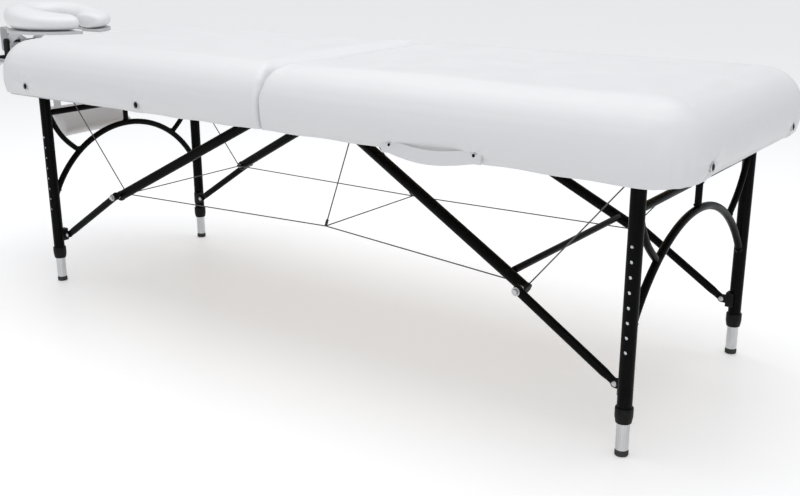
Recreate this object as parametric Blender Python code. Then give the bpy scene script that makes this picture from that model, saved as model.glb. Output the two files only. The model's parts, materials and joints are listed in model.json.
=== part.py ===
"""A two-section portable massage table with folding leg frames, a cable truss and a face cradle.

Metres, +Z up. X runs along the table from the head end to the foot end, and the table stands on Z = 0.
Every shape is drawn in the table's own frame, with X = 0 on the centre hinge, and is then moved by
HINGE_X, so that the whole object is centred on the origin.
"""
import math

import bmesh
import bpy
import numpy as np
from mathutils import Matrix, Vector

# ---- driving dimensions ----
GAP = 0.0003                # clearance between pieces that touch
HINGE_X = 0.2250            # centre hinge, measured from the middle of the whole object

HALF_LENGTH = 0.930         # one panel, hinge to end
HALF_WIDTH = 0.333          # outside of the cover
CORNER = 0.070              # plan radius of the outer corners
CORNER_HINGE = 0.012        # plan radius of the corners beside the centre hinge
SEAM = 0.001                # half of the slit between the two panels
HINGE_Z = 0.5135            # centre hinge axis
COVER_LOW, COVER_TOP = 0.5172, 0.652
COVER_WALL = 0.002
TOP_ROUND = 0.026           # rounding of the cushion's upper edge
FRAME_LOW, BOARD_LOW, FOAM_LOW = 0.5175, 0.580, 0.586
RAIL = 0.016                # thickness of the aluminium frame rail

LEG_X, PIVOT_Z = 0.836, 0.5385      # leg hinge axis
LEG_Y = {"foot": 0.2955, "head": 0.2610}    # the head legs fold just inside the foot legs
LEG_R, LEG_BORE, INNER_R = 0.014, 0.0126, 0.0122
LEG_TOP, LEG_LOW = 0.5278, 0.090
COLLAR_R, COLLAR_LOW, COLLAR_HIGH = 0.017, 0.0655, 0.0960
INNER_TOP, INNER_LOW = 0.424, 0.0125
HOLE_TOP, HOLE_PITCH, HOLE_COUNT = 0.400, 0.028, 8
HOLE_R, BUTTON_R, BUTTON_OUT = 0.0036, 0.0031, 0.0155
POCKET_R, POCKET_DEEP = 0.0035, 0.0004
FOOT_R = 0.0128
PIVOT_TUBE_R = 0.010

CROSS_Z, CROWN_Z, ARCH_SAG, ARCH_LOW = 0.462, 0.400, 0.152, 0.150
BRACE_R, WEB_R = 0.008, 0.007
WEB_SHARE, WEB_HIGH = 0.660, 0.452      # a curved strut runs from the leg to this share of the arch's width

STRUT_R, LOWER_R = 0.012, 0.009
STRUT_IN = 0.015            # lower strut, inwards from the middle of the leg
KNEE_SIDE = 0.0235          # upper strut, inwards from the lower strut at the knee
STRUT_X, STRUT_Z = 0.046, 0.5615    # upper strut's pivot under the panel
STRUT_Y = {"foot": 0.195, "head": 0.1605}
BRACKET_OUT, BRACKET_Z = 0.026, 0.130       # lower strut's pivot, from the leg's middle
KNEE_RISE = 0.016           # the cables hold the knee this far above the straight line
PAST_KNEE = 0.009
TONGUE = 0.0125             # flat end of a strut, pivot to tube
TONGUE_HALF = 0.0030
EAR_GAP, EAR_T, EAR_R = 0.0006, 0.0025, 0.0080
PIN_R, PIN_HOLE_R = 0.0035, 0.0038
CROSSBAR_R, CROSSBAR_BACK, CROSSBAR_RISE = 0.0072, 0.040, 0.0052

CABLE_R, FERRULE_R = 0.0014, 0.0034
JOINT_AT = (0.040, 0.172, 0.276)    # where three cables meet, off each side of the centre

CRADLE_X, CRADLE_RX, CRADLE_RY = -1.100, 0.155, 0.152       # face cushion
CRADLE_LOW, CRADLE_TOP = 0.6515, 0.716
FACE_RX, FACE_RY, FACE_SLOT = 0.068, 0.050, 0.020
POST_R, POST_Y, POST_Z, POST_IN = 0.008, 0.105, 0.5545, 0.868
TILT_X, TILT_Z = -1.285, 0.605
LEVER_END = -1.380
PAD_X, PAD_Z, PAD_TILT = -1.000, 0.402, math.radians(37)
PAD_LONG, PAD_DEEP, PAD_THICK, STRAP_Y = 0.250, 0.112, 0.024, 0.105

HANDLE_X, HANDLE_LONG, HANDLE_TALL, HANDLE_T = 0.442, 0.205, 0.028, 0.0024

COLOURS = {
    "cover": ((0.86, 0.86, 0.87), 0.45, 0.0),
    "foam": ((0.92, 0.86, 0.62), 0.95, 0.0),
    "board": ((0.72, 0.55, 0.36), 0.60, 0.0),
    "rail": ((0.70, 0.71, 0.72), 0.35, 0.9),
    "black_tube": ((0.015, 0.015, 0.016), 0.38, 0.3),
    "black_plastic": ((0.02, 0.02, 0.02), 0.50, 0.0),
    "silver_tube": ((0.72, 0.73, 0.74), 0.28, 1.0),
    "rubber": ((0.03, 0.03, 0.03), 0.80, 0.0),
    "steel": ((0.60, 0.60, 0.61), 0.30, 1.0),
    "cable": ((0.10, 0.10, 0.11), 0.45, 0.5),
    "grey_plastic": ((0.42, 0.42, 0.44), 0.45, 0.0),
    "webbing": ((0.80, 0.80, 0.81), 0.85, 0.0),
}
bodies = {}


# ---- helpers ----
def material(kind):
    """The Principled material of one finish, made on first use."""
    found = bpy.data.materials.get(kind)
    if found:
        return found
    colour, roughness, metallic = COLOURS[kind]
    made = bpy.data.materials.new(kind)
    made.use_nodes = True
    shader = made.node_tree.nodes["Principled BSDF"]
    shader.inputs["Base Color"].default_value = (*colour, 1.0)
    shader.inputs["Roughness"].default_value = roughness
    shader.inputs["Metallic"].default_value = metallic
    return made


def body(name, pivot, parent=None):
    """An empty on a joint's axis, which carries the pieces that move with it."""
    empty = bpy.data.objects.new(name + "_axis", None)
    bpy.context.scene.collection.objects.link(empty)
    centre = Vector(pivot) + Vector((HINGE_X, 0, 0))
    start = bodies[parent][1] if parent else Vector((0, 0, 0))
    empty.location = centre - start
    if parent:
        empty.parent = bodies[parent][0]
    bodies[name] = (empty, centre)


def linked(name, bm):
    mesh = bpy.data.meshes.new(name)
    bmesh.ops.recalc_face_normals(bm, faces=bm.faces)
    if bm.calc_volume(signed=True) < 0:
        bmesh.ops.reverse_faces(bm, faces=bm.faces)
    bm.to_mesh(mesh)
    bm.free()
    obj = bpy.data.objects.new(name, mesh)
    bpy.context.scene.collection.objects.link(obj)
    return obj


def placed(obj, kind, on):
    """Gives a finished shape its material and hangs it on its body's empty."""
    empty, centre = bodies[on]
    obj.data.transform(Matrix.Translation(Vector((HINGE_X, 0, 0)) - centre))
    obj.parent = empty
    obj.data.materials.clear()
    obj.data.materials.append(material(kind))
    obj.data.shade_smooth()
    obj.data.set_sharp_from_angle(angle=math.radians(35))
    return obj


def combined(obj, other, operation):
    """One exact Boolean, made final at once, so that the tool shape can go."""
    step = obj.modifiers.new(operation, "BOOLEAN")
    step.operation = operation
    step.solver = "EXACT"
    step.object = other
    graph = bpy.context.evaluated_depsgraph_get()
    result = bpy.data.meshes.new_from_object(obj.evaluated_get(graph))
    obj.modifiers.clear()
    obj.data = result
    bpy.data.objects.remove(other)
    return obj


def union(first, *others):
    for other in others:
        combined(first, other, "UNION")
    return first


def cut(first, *others):
    for other in others:
        combined(first, other, "DIFFERENCE")
    return first


def rod(name, start, end, radius, sides=12, end_radius=None):
    """A straight round bar between two points, with a flat of its outline facing sideways."""
    start, end = Vector(start), Vector(end)
    along = end - start
    bm = bmesh.new()
    bmesh.ops.create_cone(bm, cap_ends=True, segments=sides, radius1=radius,
                          radius2=radius if end_radius is None else end_radius, depth=along.length)
    turn = along.to_track_quat("Z", "Y").to_matrix().to_4x4()
    bm.transform(Matrix.Translation((start + end) / 2) @ turn)
    return linked(name, bm)


def box(name, low, high):
    """A plain block between two corners."""
    low, high = Vector(low), Vector(high)
    size = high - low
    bm = bmesh.new()
    bmesh.ops.create_cube(bm, size=1.0)
    bm.transform(Matrix.Translation((low + high) / 2) @ Matrix.Diagonal((*size, 1.0)))
    return linked(name, bm)


def swept(name, points, radius, resolution=2):
    """A round bar along a chain of points: a bevelled curve with filled caps, made a mesh."""
    curve = bpy.data.curves.new(name, "CURVE")
    curve.dimensions = "3D"
    curve.bevel_depth = radius
    curve.bevel_resolution = resolution
    curve.use_fill_caps = True
    spline = curve.splines.new("POLY")
    spline.points.add(len(points) - 1)
    for point, place in zip(spline.points, points):
        point.co = (*place, 1.0)
    guide = bpy.data.objects.new(name + "_guide", curve)
    bpy.context.scene.collection.objects.link(guide)
    graph = bpy.context.evaluated_depsgraph_get()
    mesh = bpy.data.meshes.new_from_object(guide.evaluated_get(graph))
    bpy.data.objects.remove(guide)
    bm = bmesh.new()
    bm.from_mesh(mesh)
    bmesh.ops.remove_doubles(bm, verts=bm.verts, dist=1e-6)
    return linked(name, bm)


def turned(name, profile, axis_at, sides=16):
    """A ring or a solid of revolution about a vertical axis, from a closed outline of (radius, z)."""
    bm = bmesh.new()
    loop = [bm.verts.new((r, 0, z)) for r, z in profile]
    edges = [bm.edges.new((a, b)) for a, b in zip(loop, loop[1:] + loop[:1]) if max(a.co.x, b.co.x) > 0]
    bmesh.ops.spin(bm, geom=loop + edges, cent=(0, 0, 0), axis=(0, 0, 1),
                   angle=2 * math.pi, steps=sides, use_duplicate=False)
    bmesh.ops.remove_doubles(bm, verts=bm.verts, dist=1e-6)
    bm.transform(Matrix.Translation((*axis_at, 0)))
    return linked(name, bm)


def plate(name, outline, low, high, top_round=0.0, segments=3):
    """A flat outline in plan, pulled up from low to high, with its upper edge rounded."""
    bm = bmesh.new()
    face = bm.faces.new([bm.verts.new((x, y, low)) for x, y in outline])
    grown = bmesh.ops.extrude_face_region(bm, geom=[face])["geom"]
    up = [v for v in grown if isinstance(v, bmesh.types.BMVert)]
    bmesh.ops.translate(bm, verts=up, vec=(0, 0, high - low))
    if top_round:
        rim = [e for e in bm.edges if all(abs(v.co.z - high) < 1e-7 for v in e.verts)]
        bmesh.ops.bevel(bm, geom=rim, offset=top_round, segments=segments, profile=0.5,
                        affect="EDGES", clamp_overlap=True)
    return linked(name, bm)


def sideways(name, outline, low, high):
    """A flat outline in X and Z, pulled from Y = low to Y = high."""
    bm = bmesh.new()
    face = bm.faces.new([bm.verts.new((x, low, z)) for x, z in outline])
    grown = bmesh.ops.extrude_face_region(bm, geom=[face])["geom"]
    moved = [v for v in grown if isinstance(v, bmesh.types.BMVert)]
    bmesh.ops.translate(bm, verts=moved, vec=(0, high - low, 0))
    return linked(name, bm)


def arc(cx, cy, rx, ry, start, end, count):
    """Points on an ellipse's arc, angles in degrees."""
    return [(cx + rx * math.cos(a), cy + ry * math.sin(a))
            for a in np.radians(np.linspace(start, end, count))]


def panel_outline(sign, inset):
    """Plan of one panel, inset from the cover's outside: square-ish at the hinge, round at the end."""
    near, far = SEAM + inset, HALF_LENGTH - inset
    half = HALF_WIDTH - inset
    big, small = CORNER - inset, max(CORNER_HINGE - inset, 0.003)
    points = arc(far - big, -half + big, big, big, -90, 0, 6)
    points += arc(far - big, half - big, big, big, 0, 90, 6)
    points += arc(near + small, half - small, small, small, 90, 180, 3)
    points += arc(near + small, -half + small, small, small, 180, 270, 3)
    return [(sign * x, y) for x, y in points]


def panel_slab(name, sign, inset, low, high, top_round=0.0):
    return plate(name, panel_outline(sign, inset), low, high, top_round)


# ---- the folding linkage, worked out once for both ends ----
def knee():
    """The knee's place (x, z) with the table open, so that the two struts also meet when it is folded.

    Folded, the knee lies beyond the lower pivot in line with the upper one, so the struts differ by
    the distance between those pivots. The open knee is then on the hyperbola about the two pivots, and
    KNEE_RISE says how far off their line it stands.
    """
    top = Vector((STRUT_X, STRUT_Z))
    low = Vector((LEG_X - BRACKET_OUT, BRACKET_Z))
    folded = Vector((LEG_X - (PIVOT_Z - BRACKET_Z), PIVOT_Z + BRACKET_OUT))
    apart = (low - top).length
    half_difference = (folded - top).length / 2
    semi = math.sqrt((apart / 2) ** 2 - half_difference ** 2)
    along = apart / 2 + half_difference * math.sqrt(1 + (KNEE_RISE / semi) ** 2)
    unit = (low - top) / apart
    place = top + unit * along + Vector((-unit.y, unit.x)) * KNEE_RISE
    return place.x, place.y


KNEE_X, KNEE_Z = knee()
ENDS = {"foot": 1, "head": -1}
SIDES = {"near": -1, "far": 1}


# ---- panels ----
def panel(end):
    sign = ENDS[end]
    on = end + "_panel"
    cover = panel_slab(end + "_cover", sign, 0.0, COVER_LOW, COVER_TOP, TOP_ROUND)
    hollow = panel_slab("hollow", sign, COVER_WALL, COVER_LOW - 0.01, COVER_TOP - COVER_WALL,
                        TOP_ROUND - COVER_WALL)
    cut(cover, hollow)
    inside = COVER_WALL + GAP
    foam = panel_slab(end + "_foam", sign, inside, FOAM_LOW + GAP, COVER_TOP - inside,
                      TOP_ROUND - inside)
    board = panel_slab(end + "_board", sign, inside, BOARD_LOW + GAP, FOAM_LOW)
    frame = panel_slab(end + "_frame", sign, inside, FRAME_LOW, BOARD_LOW)
    cut(frame, panel_slab("hollow", sign, inside + RAIL, FRAME_LOW - 0.01, BOARD_LOW + 0.01))
    rail_face = SEAM + inside + RAIL
    for side in SIDES.values():
        middle = side * STRUT_Y[end]
        ears = TONGUE_HALF + EAR_GAP
        for inner in (-1, 1):
            first = middle + inner * ears
            second = middle + inner * (ears + EAR_T)
            outline = [(sign * (rail_face - 0.004), STRUT_Z - EAR_R)]
            outline += [(sign * x, z) for x, z in arc(STRUT_X, STRUT_Z, EAR_R, EAR_R, -90, 90, 7)]
            outline += [(sign * (rail_face - 0.004), STRUT_Z + EAR_R)]
            union(frame, sideways("ear", outline, min(first, second), max(first, second)))
        union(frame, rod("pin", (sign * STRUT_X, middle - ears - EAR_T / 2, STRUT_Z),
                         (sign * STRUT_X, middle + ears + EAR_T / 2, STRUT_Z), PIN_R, 10))
        seat = side * (HALF_WIDTH - inside - RAIL * 0.4)
        cut(frame, rod("seat", (sign * LEG_X, side * LEG_Y[end], PIVOT_Z), (sign * LEG_X, seat, PIVOT_Z),
                       PIVOT_TUBE_R + 0.0006, 16))
    if end == "head":
        for side in SIDES.values():
            reach = (-HALF_LENGTH - 0.02, side * POST_Y, POST_Z)
            back = (-POST_IN, side * POST_Y, POST_Z)
            cut(frame, rod("socket", reach, back, POST_R + 0.0007, 16))
            cut(cover, rod("eyelet", reach, back, POST_R + 0.0020, 16))
    placed(cover, "cover", on)
    placed(foam, "foam", on)
    placed(board, "board", on)
    placed(frame, "rail", on)


def carry_handle():
    """A flat handle that lies against the near skirt of the foot half, between its two studs."""
    half = HANDLE_LONG / 2 + 0.014
    low = COVER_LOW + 0.0006
    face = -HALF_WIDTH - GAP - 0.0002
    outline = [(HANDLE_X + x, low + HANDLE_TALL / 2 + z)
               for x, z in arc(half - 0.014, 0, 0.014, HANDLE_TALL / 2, -90, 90, 7)
               + arc(-half + 0.014, 0, 0.014, HANDLE_TALL / 2, 90, 270, 7)]
    placed(sideways("carry_handle", outline, face - HANDLE_T, face), "webbing", "foot_panel")


# ---- centre hinge: two knuckled leaves and the pin through them ----
def centre_hinge():
    length, knuckles, radius, leaf_t, reach = 0.560, 9, 0.0034, 0.0015, 0.026
    step = length / knuckles
    for end, sign in ENDS.items():
        x0, x1 = sorted((sign * 0.0052, sign * reach))
        leaf = box("hinge_leaf_" + end, (x0, -length / 2, FRAME_LOW - GAP - leaf_t),
                   (x1, length / 2, FRAME_LOW - GAP))
        for i in range(0 if end == "foot" else 1, knuckles, 2):
            low = -length / 2 + i * step + 0.0004
            high = low + step - 0.0008
            arm0, arm1 = sorted((0.0, sign * 0.0072))
            arm = box("arm", (arm0, low + 0.0004, HINGE_Z + 0.0021),
                      (arm1, high - 0.0004, HINGE_Z + 0.0032))
            union(leaf, arm, rod("knuckle", (0, low, HINGE_Z), (0, high, HINGE_Z), radius, 12))
        cut(leaf, rod("bore", (0, -length, HINGE_Z), (0, length, HINGE_Z), 0.0019, 10))
        placed(leaf, "steel", end + "_panel")
    pin = rod("hinge_pin", (0, -length / 2 - 0.002, HINGE_Z), (0, length / 2 + 0.002, HINGE_Z), 0.0015, 10)
    placed(pin, "steel", "foot_panel")


# ---- leg frames ----
def leg(end, side):
    """The outer tube, its end collar, the telescoping inner leg, the spring button and the foot."""
    x, y = ENDS[end] * LEG_X, SIDES[side] * LEG_Y[end]
    out = SIDES[side]
    on = end + "_leg_frame"
    name = f"{end}_{{}}_{side}".format
    tube = turned(name("leg_tube"), [(LEG_R, LEG_LOW), (LEG_R, LEG_TOP), (0, LEG_TOP),
                                     (0, LEG_TOP - 0.002), (LEG_BORE, LEG_TOP - 0.002),
                                     (LEG_BORE, LEG_LOW)], (x, y))
    for i in range(HOLE_COUNT):
        z = HOLE_TOP - i * HOLE_PITCH
        cut(tube, rod("hole", (x, y + out * 0.008, z), (x, y + out * 0.020, z), HOLE_R, 8))
    placed(tube, "black_tube", on)
    collar = turned(name("leg_collar"), [
        (INNER_R + 0.0006, COLLAR_LOW), (COLLAR_R - 0.0022, COLLAR_LOW),
        (COLLAR_R - 0.0006, COLLAR_LOW + 0.006), (COLLAR_R, COLLAR_LOW + 0.013),
        (COLLAR_R, COLLAR_HIGH), (LEG_R + GAP, COLLAR_HIGH),
        (LEG_R + GAP, LEG_LOW - GAP), (INNER_R + 0.0006, LEG_LOW - GAP)], (x, y))
    placed(collar, "black_plastic", on)

    extension = f"{end}_inner_leg_{side}"
    body(extension, (x, y, COLLAR_LOW), on)
    inner = turned(extension, [(0, INNER_LOW), (INNER_R, INNER_LOW), (INNER_R, INNER_TOP - 0.002),
                               (INNER_R - 0.002, INNER_TOP), (0, INNER_TOP)], (x, y))
    cut(inner, rod("pocket", (x, y + out * POCKET_DEEP, HOLE_TOP), (x, y + out * 0.020, HOLE_TOP),
                   POCKET_R, 10))
    placed(inner, "silver_tube", extension)
    foot = turned(name("rubber_foot"), [
        (0, 0), (FOOT_R - 0.0015, 0), (FOOT_R, 0.0015), (FOOT_R, 0.0100), (INNER_R - 0.0004, 0.0120),
        (0, 0.0120)], (x, y))
    placed(foot, "rubber", extension)

    push = f"{end}_button_{side}"
    body(push, (x, y + out * BUTTON_OUT, HOLE_TOP), extension)
    button = rod(push, (x, y + out * 0.0052, HOLE_TOP), (x, y + out * 0.0142, HOLE_TOP), BUTTON_R, 10)
    union(button, rod("dome", (x, y + out * 0.0140, HOLE_TOP), (x, y + out * BUTTON_OUT, HOLE_TOP),
                      BUTTON_R, 10, BUTTON_R * 0.55))
    placed(button, "steel", push)


def leg_brace(end):
    """The welded brace between two legs: cross tube, arch, middle post and two curved struts.

    Its ends run a little into the legs and are then coped to fit round them.
    """
    x = ENDS[end] * LEG_X
    half = LEG_Y[end] - LEG_R + 0.004
    radius = (half ** 2 + ARCH_SAG ** 2) / (2 * ARCH_SAG)
    spread = math.asin(half / radius)
    arch = [(x, radius * math.sin(a), CROWN_Z - radius + radius * math.cos(a))
            for a in np.linspace(-spread, spread, 19)]
    brace = swept(end + "_leg_brace", arch, BRACE_R)
    union(brace, rod("cross", (x, -half, CROSS_Z), (x, half, CROSS_Z), BRACE_R, 8))
    union(brace, rod("post", (x, 0, CROWN_Z - 0.001), (x, 0, CROSS_Z + 0.001), WEB_R, 8))
    web_y = WEB_SHARE * half
    web_low = CROWN_Z - radius + math.sqrt(radius ** 2 - web_y ** 2)
    for side in SIDES.values():
        bow = [(x, side * (half + (web_y - half) * t + 0.010 * math.sin(math.pi * t)),
                WEB_HIGH + (web_low - WEB_HIGH) * t - 0.005 * math.sin(math.pi * t))
               for t in np.linspace(0, 1, 7)]
        union(brace, swept("web", bow, WEB_R))
        at = (x, side * LEG_Y[end])
        cut(brace, rod("cope", (*at, ARCH_LOW), (*at, PIVOT_Z), LEG_R + 0.0004, 16))
    placed(brace, "black_tube", end + "_leg_frame")


def leg_frame(end):
    sign = ENDS[end]
    body(end + "_leg_frame", (sign * LEG_X, 0, PIVOT_Z), end + "_panel")
    reach = HALF_WIDTH - COVER_WALL - GAP - RAIL * 0.4 - 0.0006
    tube = rod(end + "_pivot_tube", (sign * LEG_X, -reach, PIVOT_Z), (sign * LEG_X, reach, PIVOT_Z),
               PIVOT_TUBE_R, 16)
    placed(tube, "black_tube", end + "_leg_frame")
    leg_brace(end)
    for side in SIDES:
        leg(end, side)


# ---- struts ----
def eye_end(name, pivot, heading):
    """The flat eye of a strut: a rounded tongue in the X-Z plane, from the pivot to the tube."""
    x, y, z = pivot
    angle = math.atan2(heading[1], heading[0])
    half = 0.0060
    points = [(x + half * math.cos(a), z + half * math.sin(a))
              for a in angle + np.radians(np.linspace(90, 270, 7))]
    far = TONGUE + 0.004
    for turn in (-1, 1):
        points.append((x + far * math.cos(angle) - turn * half * math.sin(angle),
                       z + far * math.sin(angle) + turn * half * math.cos(angle)))
    return sideways(name, points, y - TONGUE_HALF, y + TONGUE_HALF)


def strut(name, pivot, knee_at, radius, past):
    """A round strut with a drilled flat eye on its pivot, which runs just past the knee."""
    heading = Vector((knee_at[0] - pivot[0], knee_at[2] - pivot[2])).normalized()
    start = (pivot[0] + heading.x * TONGUE, pivot[1], pivot[2] + heading.y * TONGUE)
    along = (Vector(knee_at) - Vector(start)).normalized()
    tube = rod(name, start, Vector(knee_at) + along * past, radius, 12)
    union(tube, eye_end("eye", pivot, heading))
    x, y, z = pivot
    return cut(tube, rod("drill", (x, y - 0.02, z), (x, y + 0.02, z), PIN_HOLE_R, 12))


def bracket(end, side):
    """The clevis on the leg that carries the lower strut: a saddle round the leg, two ears and a pin."""
    sign, out = ENDS[end], SIDES[side]
    y = out * (LEG_Y[end] - STRUT_IN)
    wide = TONGUE_HALF + EAR_GAP + EAR_T
    back = LEG_X - LEG_R - 0.0025
    x0, x1 = sorted((sign * back, sign * LEG_X))
    y0, y1 = sorted((y - out * wide, out * LEG_Y[end]))
    part = box(f"{end}_strut_bracket_{side}", (x0, y0, BRACKET_Z - 0.016), (x1, y1, BRACKET_Z + 0.016))
    pivot = LEG_X - BRACKET_OUT
    for inner in (-1, 1):
        first, second = sorted((y + inner * (wide - EAR_T), y + inner * wide))
        outline = [(sign * (back + 0.001), BRACKET_Z - EAR_R)]
        outline += [(sign * px, pz) for px, pz in arc(pivot, BRACKET_Z, EAR_R, EAR_R, 270, 90, 7)]
        outline += [(sign * (back + 0.001), BRACKET_Z + EAR_R)]
        union(part, sideways("ear", outline, first, second))
    at = (sign * LEG_X, out * LEG_Y[end])
    cut(part, rod("saddle", (*at, BRACKET_Z - 0.05), (*at, BRACKET_Z + 0.05), LEG_R + 0.0004, 16))
    union(part, rod("pin", (sign * pivot, y - wide + 0.001, BRACKET_Z),
                    (sign * pivot, y + wide - 0.001, BRACKET_Z), PIN_R, 10))
    placed(part, "black_plastic", end + "_leg_frame")


def struts(end):
    sign = ENDS[end]
    upper, lower = end + "_upper_struts", end + "_lower_struts"
    body(upper, (sign * STRUT_X, 0, STRUT_Z), end + "_panel")
    body(lower, (sign * (LEG_X - BRACKET_OUT), 0, BRACKET_Z), end + "_leg_frame")
    for side, out in SIDES.items():
        y_low = out * (LEG_Y[end] - STRUT_IN)
        y_up = y_low - out * KNEE_SIDE
        top = (sign * STRUT_X, out * STRUT_Y[end], STRUT_Z)
        placed(strut(f"{end}_upper_strut_{side}", top, (sign * KNEE_X, y_up, KNEE_Z), STRUT_R, PAST_KNEE),
               "black_tube", upper)
        foot = (sign * (LEG_X - BRACKET_OUT), y_low, BRACKET_Z)
        placed(strut(f"{end}_lower_strut_{side}", foot, (sign * KNEE_X, y_low, KNEE_Z), LOWER_R,
                     PAST_KNEE), "black_tube", lower)
        bracket(end, side)


def crossbar():
    """The tube that ties the two foot-end upper struts together just above their knees."""
    top = Vector((STRUT_X, STRUT_Z))
    along = (Vector((KNEE_X, KNEE_Z)) - top)
    share = 1 - CROSSBAR_BACK / along.length
    unit = along.normalized()
    place = top + along * share + Vector((-unit.y, unit.x)) * CROSSBAR_RISE
    inner = LEG_Y["foot"] - STRUT_IN - KNEE_SIDE
    splay = STRUT_Y["foot"] + (inner - STRUT_Y["foot"]) * share
    reach = splay - STRUT_R - 0.0007
    bar = rod("foot_crossbar", (place.x, -reach, place.y), (place.x, reach, place.y), CROSSBAR_R, 12)
    placed(bar, "black_tube", "foot_upper_struts")


# ---- cable truss ----
def ferrule(at, radius):
    bm = bmesh.new()
    bmesh.ops.create_icosphere(bm, subdivisions=2, radius=radius)
    bm.transform(Matrix.Translation(at))
    return linked("ferrule", bm)


def cable_truss():
    """All the cables, pressed into a ferrule wherever they meet: a web, long runs and end stays."""
    top = Vector((0, 0, HINGE_Z - 0.010))
    at_knee, runs, meets = {}, [], []
    for side, out in SIDES.items():
        meet = Vector((JOINT_AT[0], out * JOINT_AT[1], JOINT_AT[2]))
        meets.append(meet)
        runs.append((top, meet))
        for end, sign in ENDS.items():
            y = out * (LEG_Y[end] - STRUT_IN - KNEE_SIDE - STRUT_R - FERRULE_R - 0.0007)
            at = at_knee[end, side] = Vector((sign * KNEE_X, y, KNEE_Z))
            stay = Vector((sign * (LEG_X - PIVOT_TUBE_R - 0.0015), y, PIVOT_Z - 0.006))
            runs += [(meet, at), (at, stay)]
    runs += [tuple(meets), (at_knee["head", "near"], at_knee["head", "far"])]
    truss = ferrule(top, FERRULE_R)
    truss.name = "cable_truss"
    waiting = [rod("cable", start, finish, CABLE_R, 6) for start, finish in runs]
    waiting += [ferrule(at, FERRULE_R) for at in [*meets, *at_knee.values()]]
    union(truss, *waiting)
    placed(truss, "cable", "foot_panel")


# ---- face cradle ----
def horseshoe(grow):
    """Plan of the face cushion: an oval with an oval face hole, open towards the table."""
    slot = FACE_SLOT - grow
    rx, ry = CRADLE_RX + grow, CRADLE_RY + grow
    hx, hy = FACE_RX - grow, FACE_RY - grow
    outer_open = math.degrees(math.asin(slot / ry))
    inner_open = math.degrees(math.asin(slot / hy))
    return (arc(CRADLE_X, 0, rx, ry, outer_open, 360 - outer_open, 29)
            + arc(CRADLE_X, 0, hx, hy, 360 - inner_open, inner_open, 17))


def face_cradle():
    body("cradle_base", (-POST_IN, 0, POST_Z), "head_panel")
    body("cradle_head", (TILT_X, 0, TILT_Z), "cradle_base")
    body("cradle_lever", (TILT_X, 0, TILT_Z), "cradle_base")
    body("arm_rest", (PAD_X, 0, POST_Z), "cradle_base")
    for side, out in SIDES.items():
        post = rod(f"cradle_post_{side}", (-POST_IN, out * POST_Y, POST_Z),
                   (TILT_X + 0.0123, out * POST_Y, POST_Z), POST_R, 12)
        placed(post, "silver_tube", "cradle_base")
    yoke = box("cradle_yoke", (TILT_X - 0.012, -0.125, POST_Z - 0.012),
               (TILT_X + 0.012, 0.125, POST_Z + 0.012))
    for out in (-1, 1):
        outline = [(TILT_X - 0.010, POST_Z)]
        outline += arc(TILT_X, TILT_Z, 0.010, 0.010, 180, 0, 7)
        outline += [(TILT_X + 0.010, POST_Z)]
        low, high = sorted((out * 0.052, out * 0.060))
        union(yoke, sideways("upright", outline, low, high))
    union(yoke, rod("spindle", (TILT_X, -0.056, TILT_Z), (TILT_X, 0.056, TILT_Z), 0.0040, 12))
    placed(yoke, "black_plastic", "cradle_base")

    platform = plate("cradle_platform", horseshoe(-0.008), CRADLE_LOW - 0.0085, CRADLE_LOW - GAP)
    for out in (-1, 1):
        low, high = sorted((out * 0.042, out * 0.050))
        arm = [(TILT_X, TILT_Z - 0.010), (TILT_X + 0.075, CRADLE_LOW - 0.012),
               (TILT_X + 0.075, CRADLE_LOW - 0.004), (TILT_X + 0.030, CRADLE_LOW - 0.004)]
        arm += arc(TILT_X, TILT_Z, 0.010, 0.010, 110, 270, 7)[:-1]
        union(platform, sideways("arm", arm, low, high))
    cut(platform, rod("bore", (TILT_X, -0.08, TILT_Z), (TILT_X, 0.08, TILT_Z), 0.0043, 12))
    placed(platform, "grey_plastic", "cradle_head")
    cushion = plate("face_cushion", horseshoe(0.0), CRADLE_LOW, CRADLE_TOP, 0.016, 2)
    placed(cushion, "cover", "cradle_head")

    lever_outline = arc(TILT_X, TILT_Z, 0.009, 0.009, -65, 65, 6)
    lever_outline += [(LEVER_END + 0.006, TILT_Z + 0.037), (LEVER_END, TILT_Z + 0.031),
                      (LEVER_END, TILT_Z - 0.031), (LEVER_END + 0.006, TILT_Z - 0.037)]
    lever = sideways("cradle_lever", lever_outline, -0.011, 0.011)
    cut(lever, rod("bore", (TILT_X, -0.03, TILT_Z), (TILT_X, 0.03, TILT_Z), 0.0043, 12))
    placed(lever, "grey_plastic", "cradle_lever")


def arm_rest():
    """A small padded rest that hangs on two straps from the cradle's posts."""
    pad = box("arm_rest_pad", (-PAD_DEEP / 2, -PAD_LONG / 2, -PAD_THICK / 2),
              (PAD_DEEP / 2, PAD_LONG / 2, PAD_THICK / 2))
    bm = bmesh.new()
    bm.from_mesh(pad.data)
    bmesh.ops.bevel(bm, geom=list(bm.edges), offset=0.009, segments=2, profile=0.5, affect="EDGES")
    bm.to_mesh(pad.data)
    bm.free()
    pad.data.transform(Matrix.Translation((PAD_X, 0, PAD_Z)) @ Matrix.Rotation(PAD_TILT, 4, "Y"))
    placed(pad, "cover", "arm_rest")
    over = PAD_Z + PAD_THICK / 2 / math.cos(PAD_TILT)
    for side, out in SIDES.items():
        wide, thick = 0.024, 0.0020
        foot = [(PAD_X - thick / 2, over + GAP * 2 + thick / 2 * math.tan(PAD_TILT)),
                (PAD_X + thick / 2, over + GAP * 2 + thick / 2 * math.tan(PAD_TILT))]
        outline = foot + [(PAD_X + thick / 2, POST_Z - POST_R - 0.0015),
                          (PAD_X - thick / 2, POST_Z - POST_R - 0.0015)]
        strap = sideways(f"arm_rest_strap_{side}", outline,
                         out * STRAP_Y - wide / 2, out * STRAP_Y + wide / 2)
        placed(strap, "webbing", "arm_rest")


# ---- the whole table ----
for old in list(bpy.data.objects):
    bpy.data.objects.remove(old)

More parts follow.
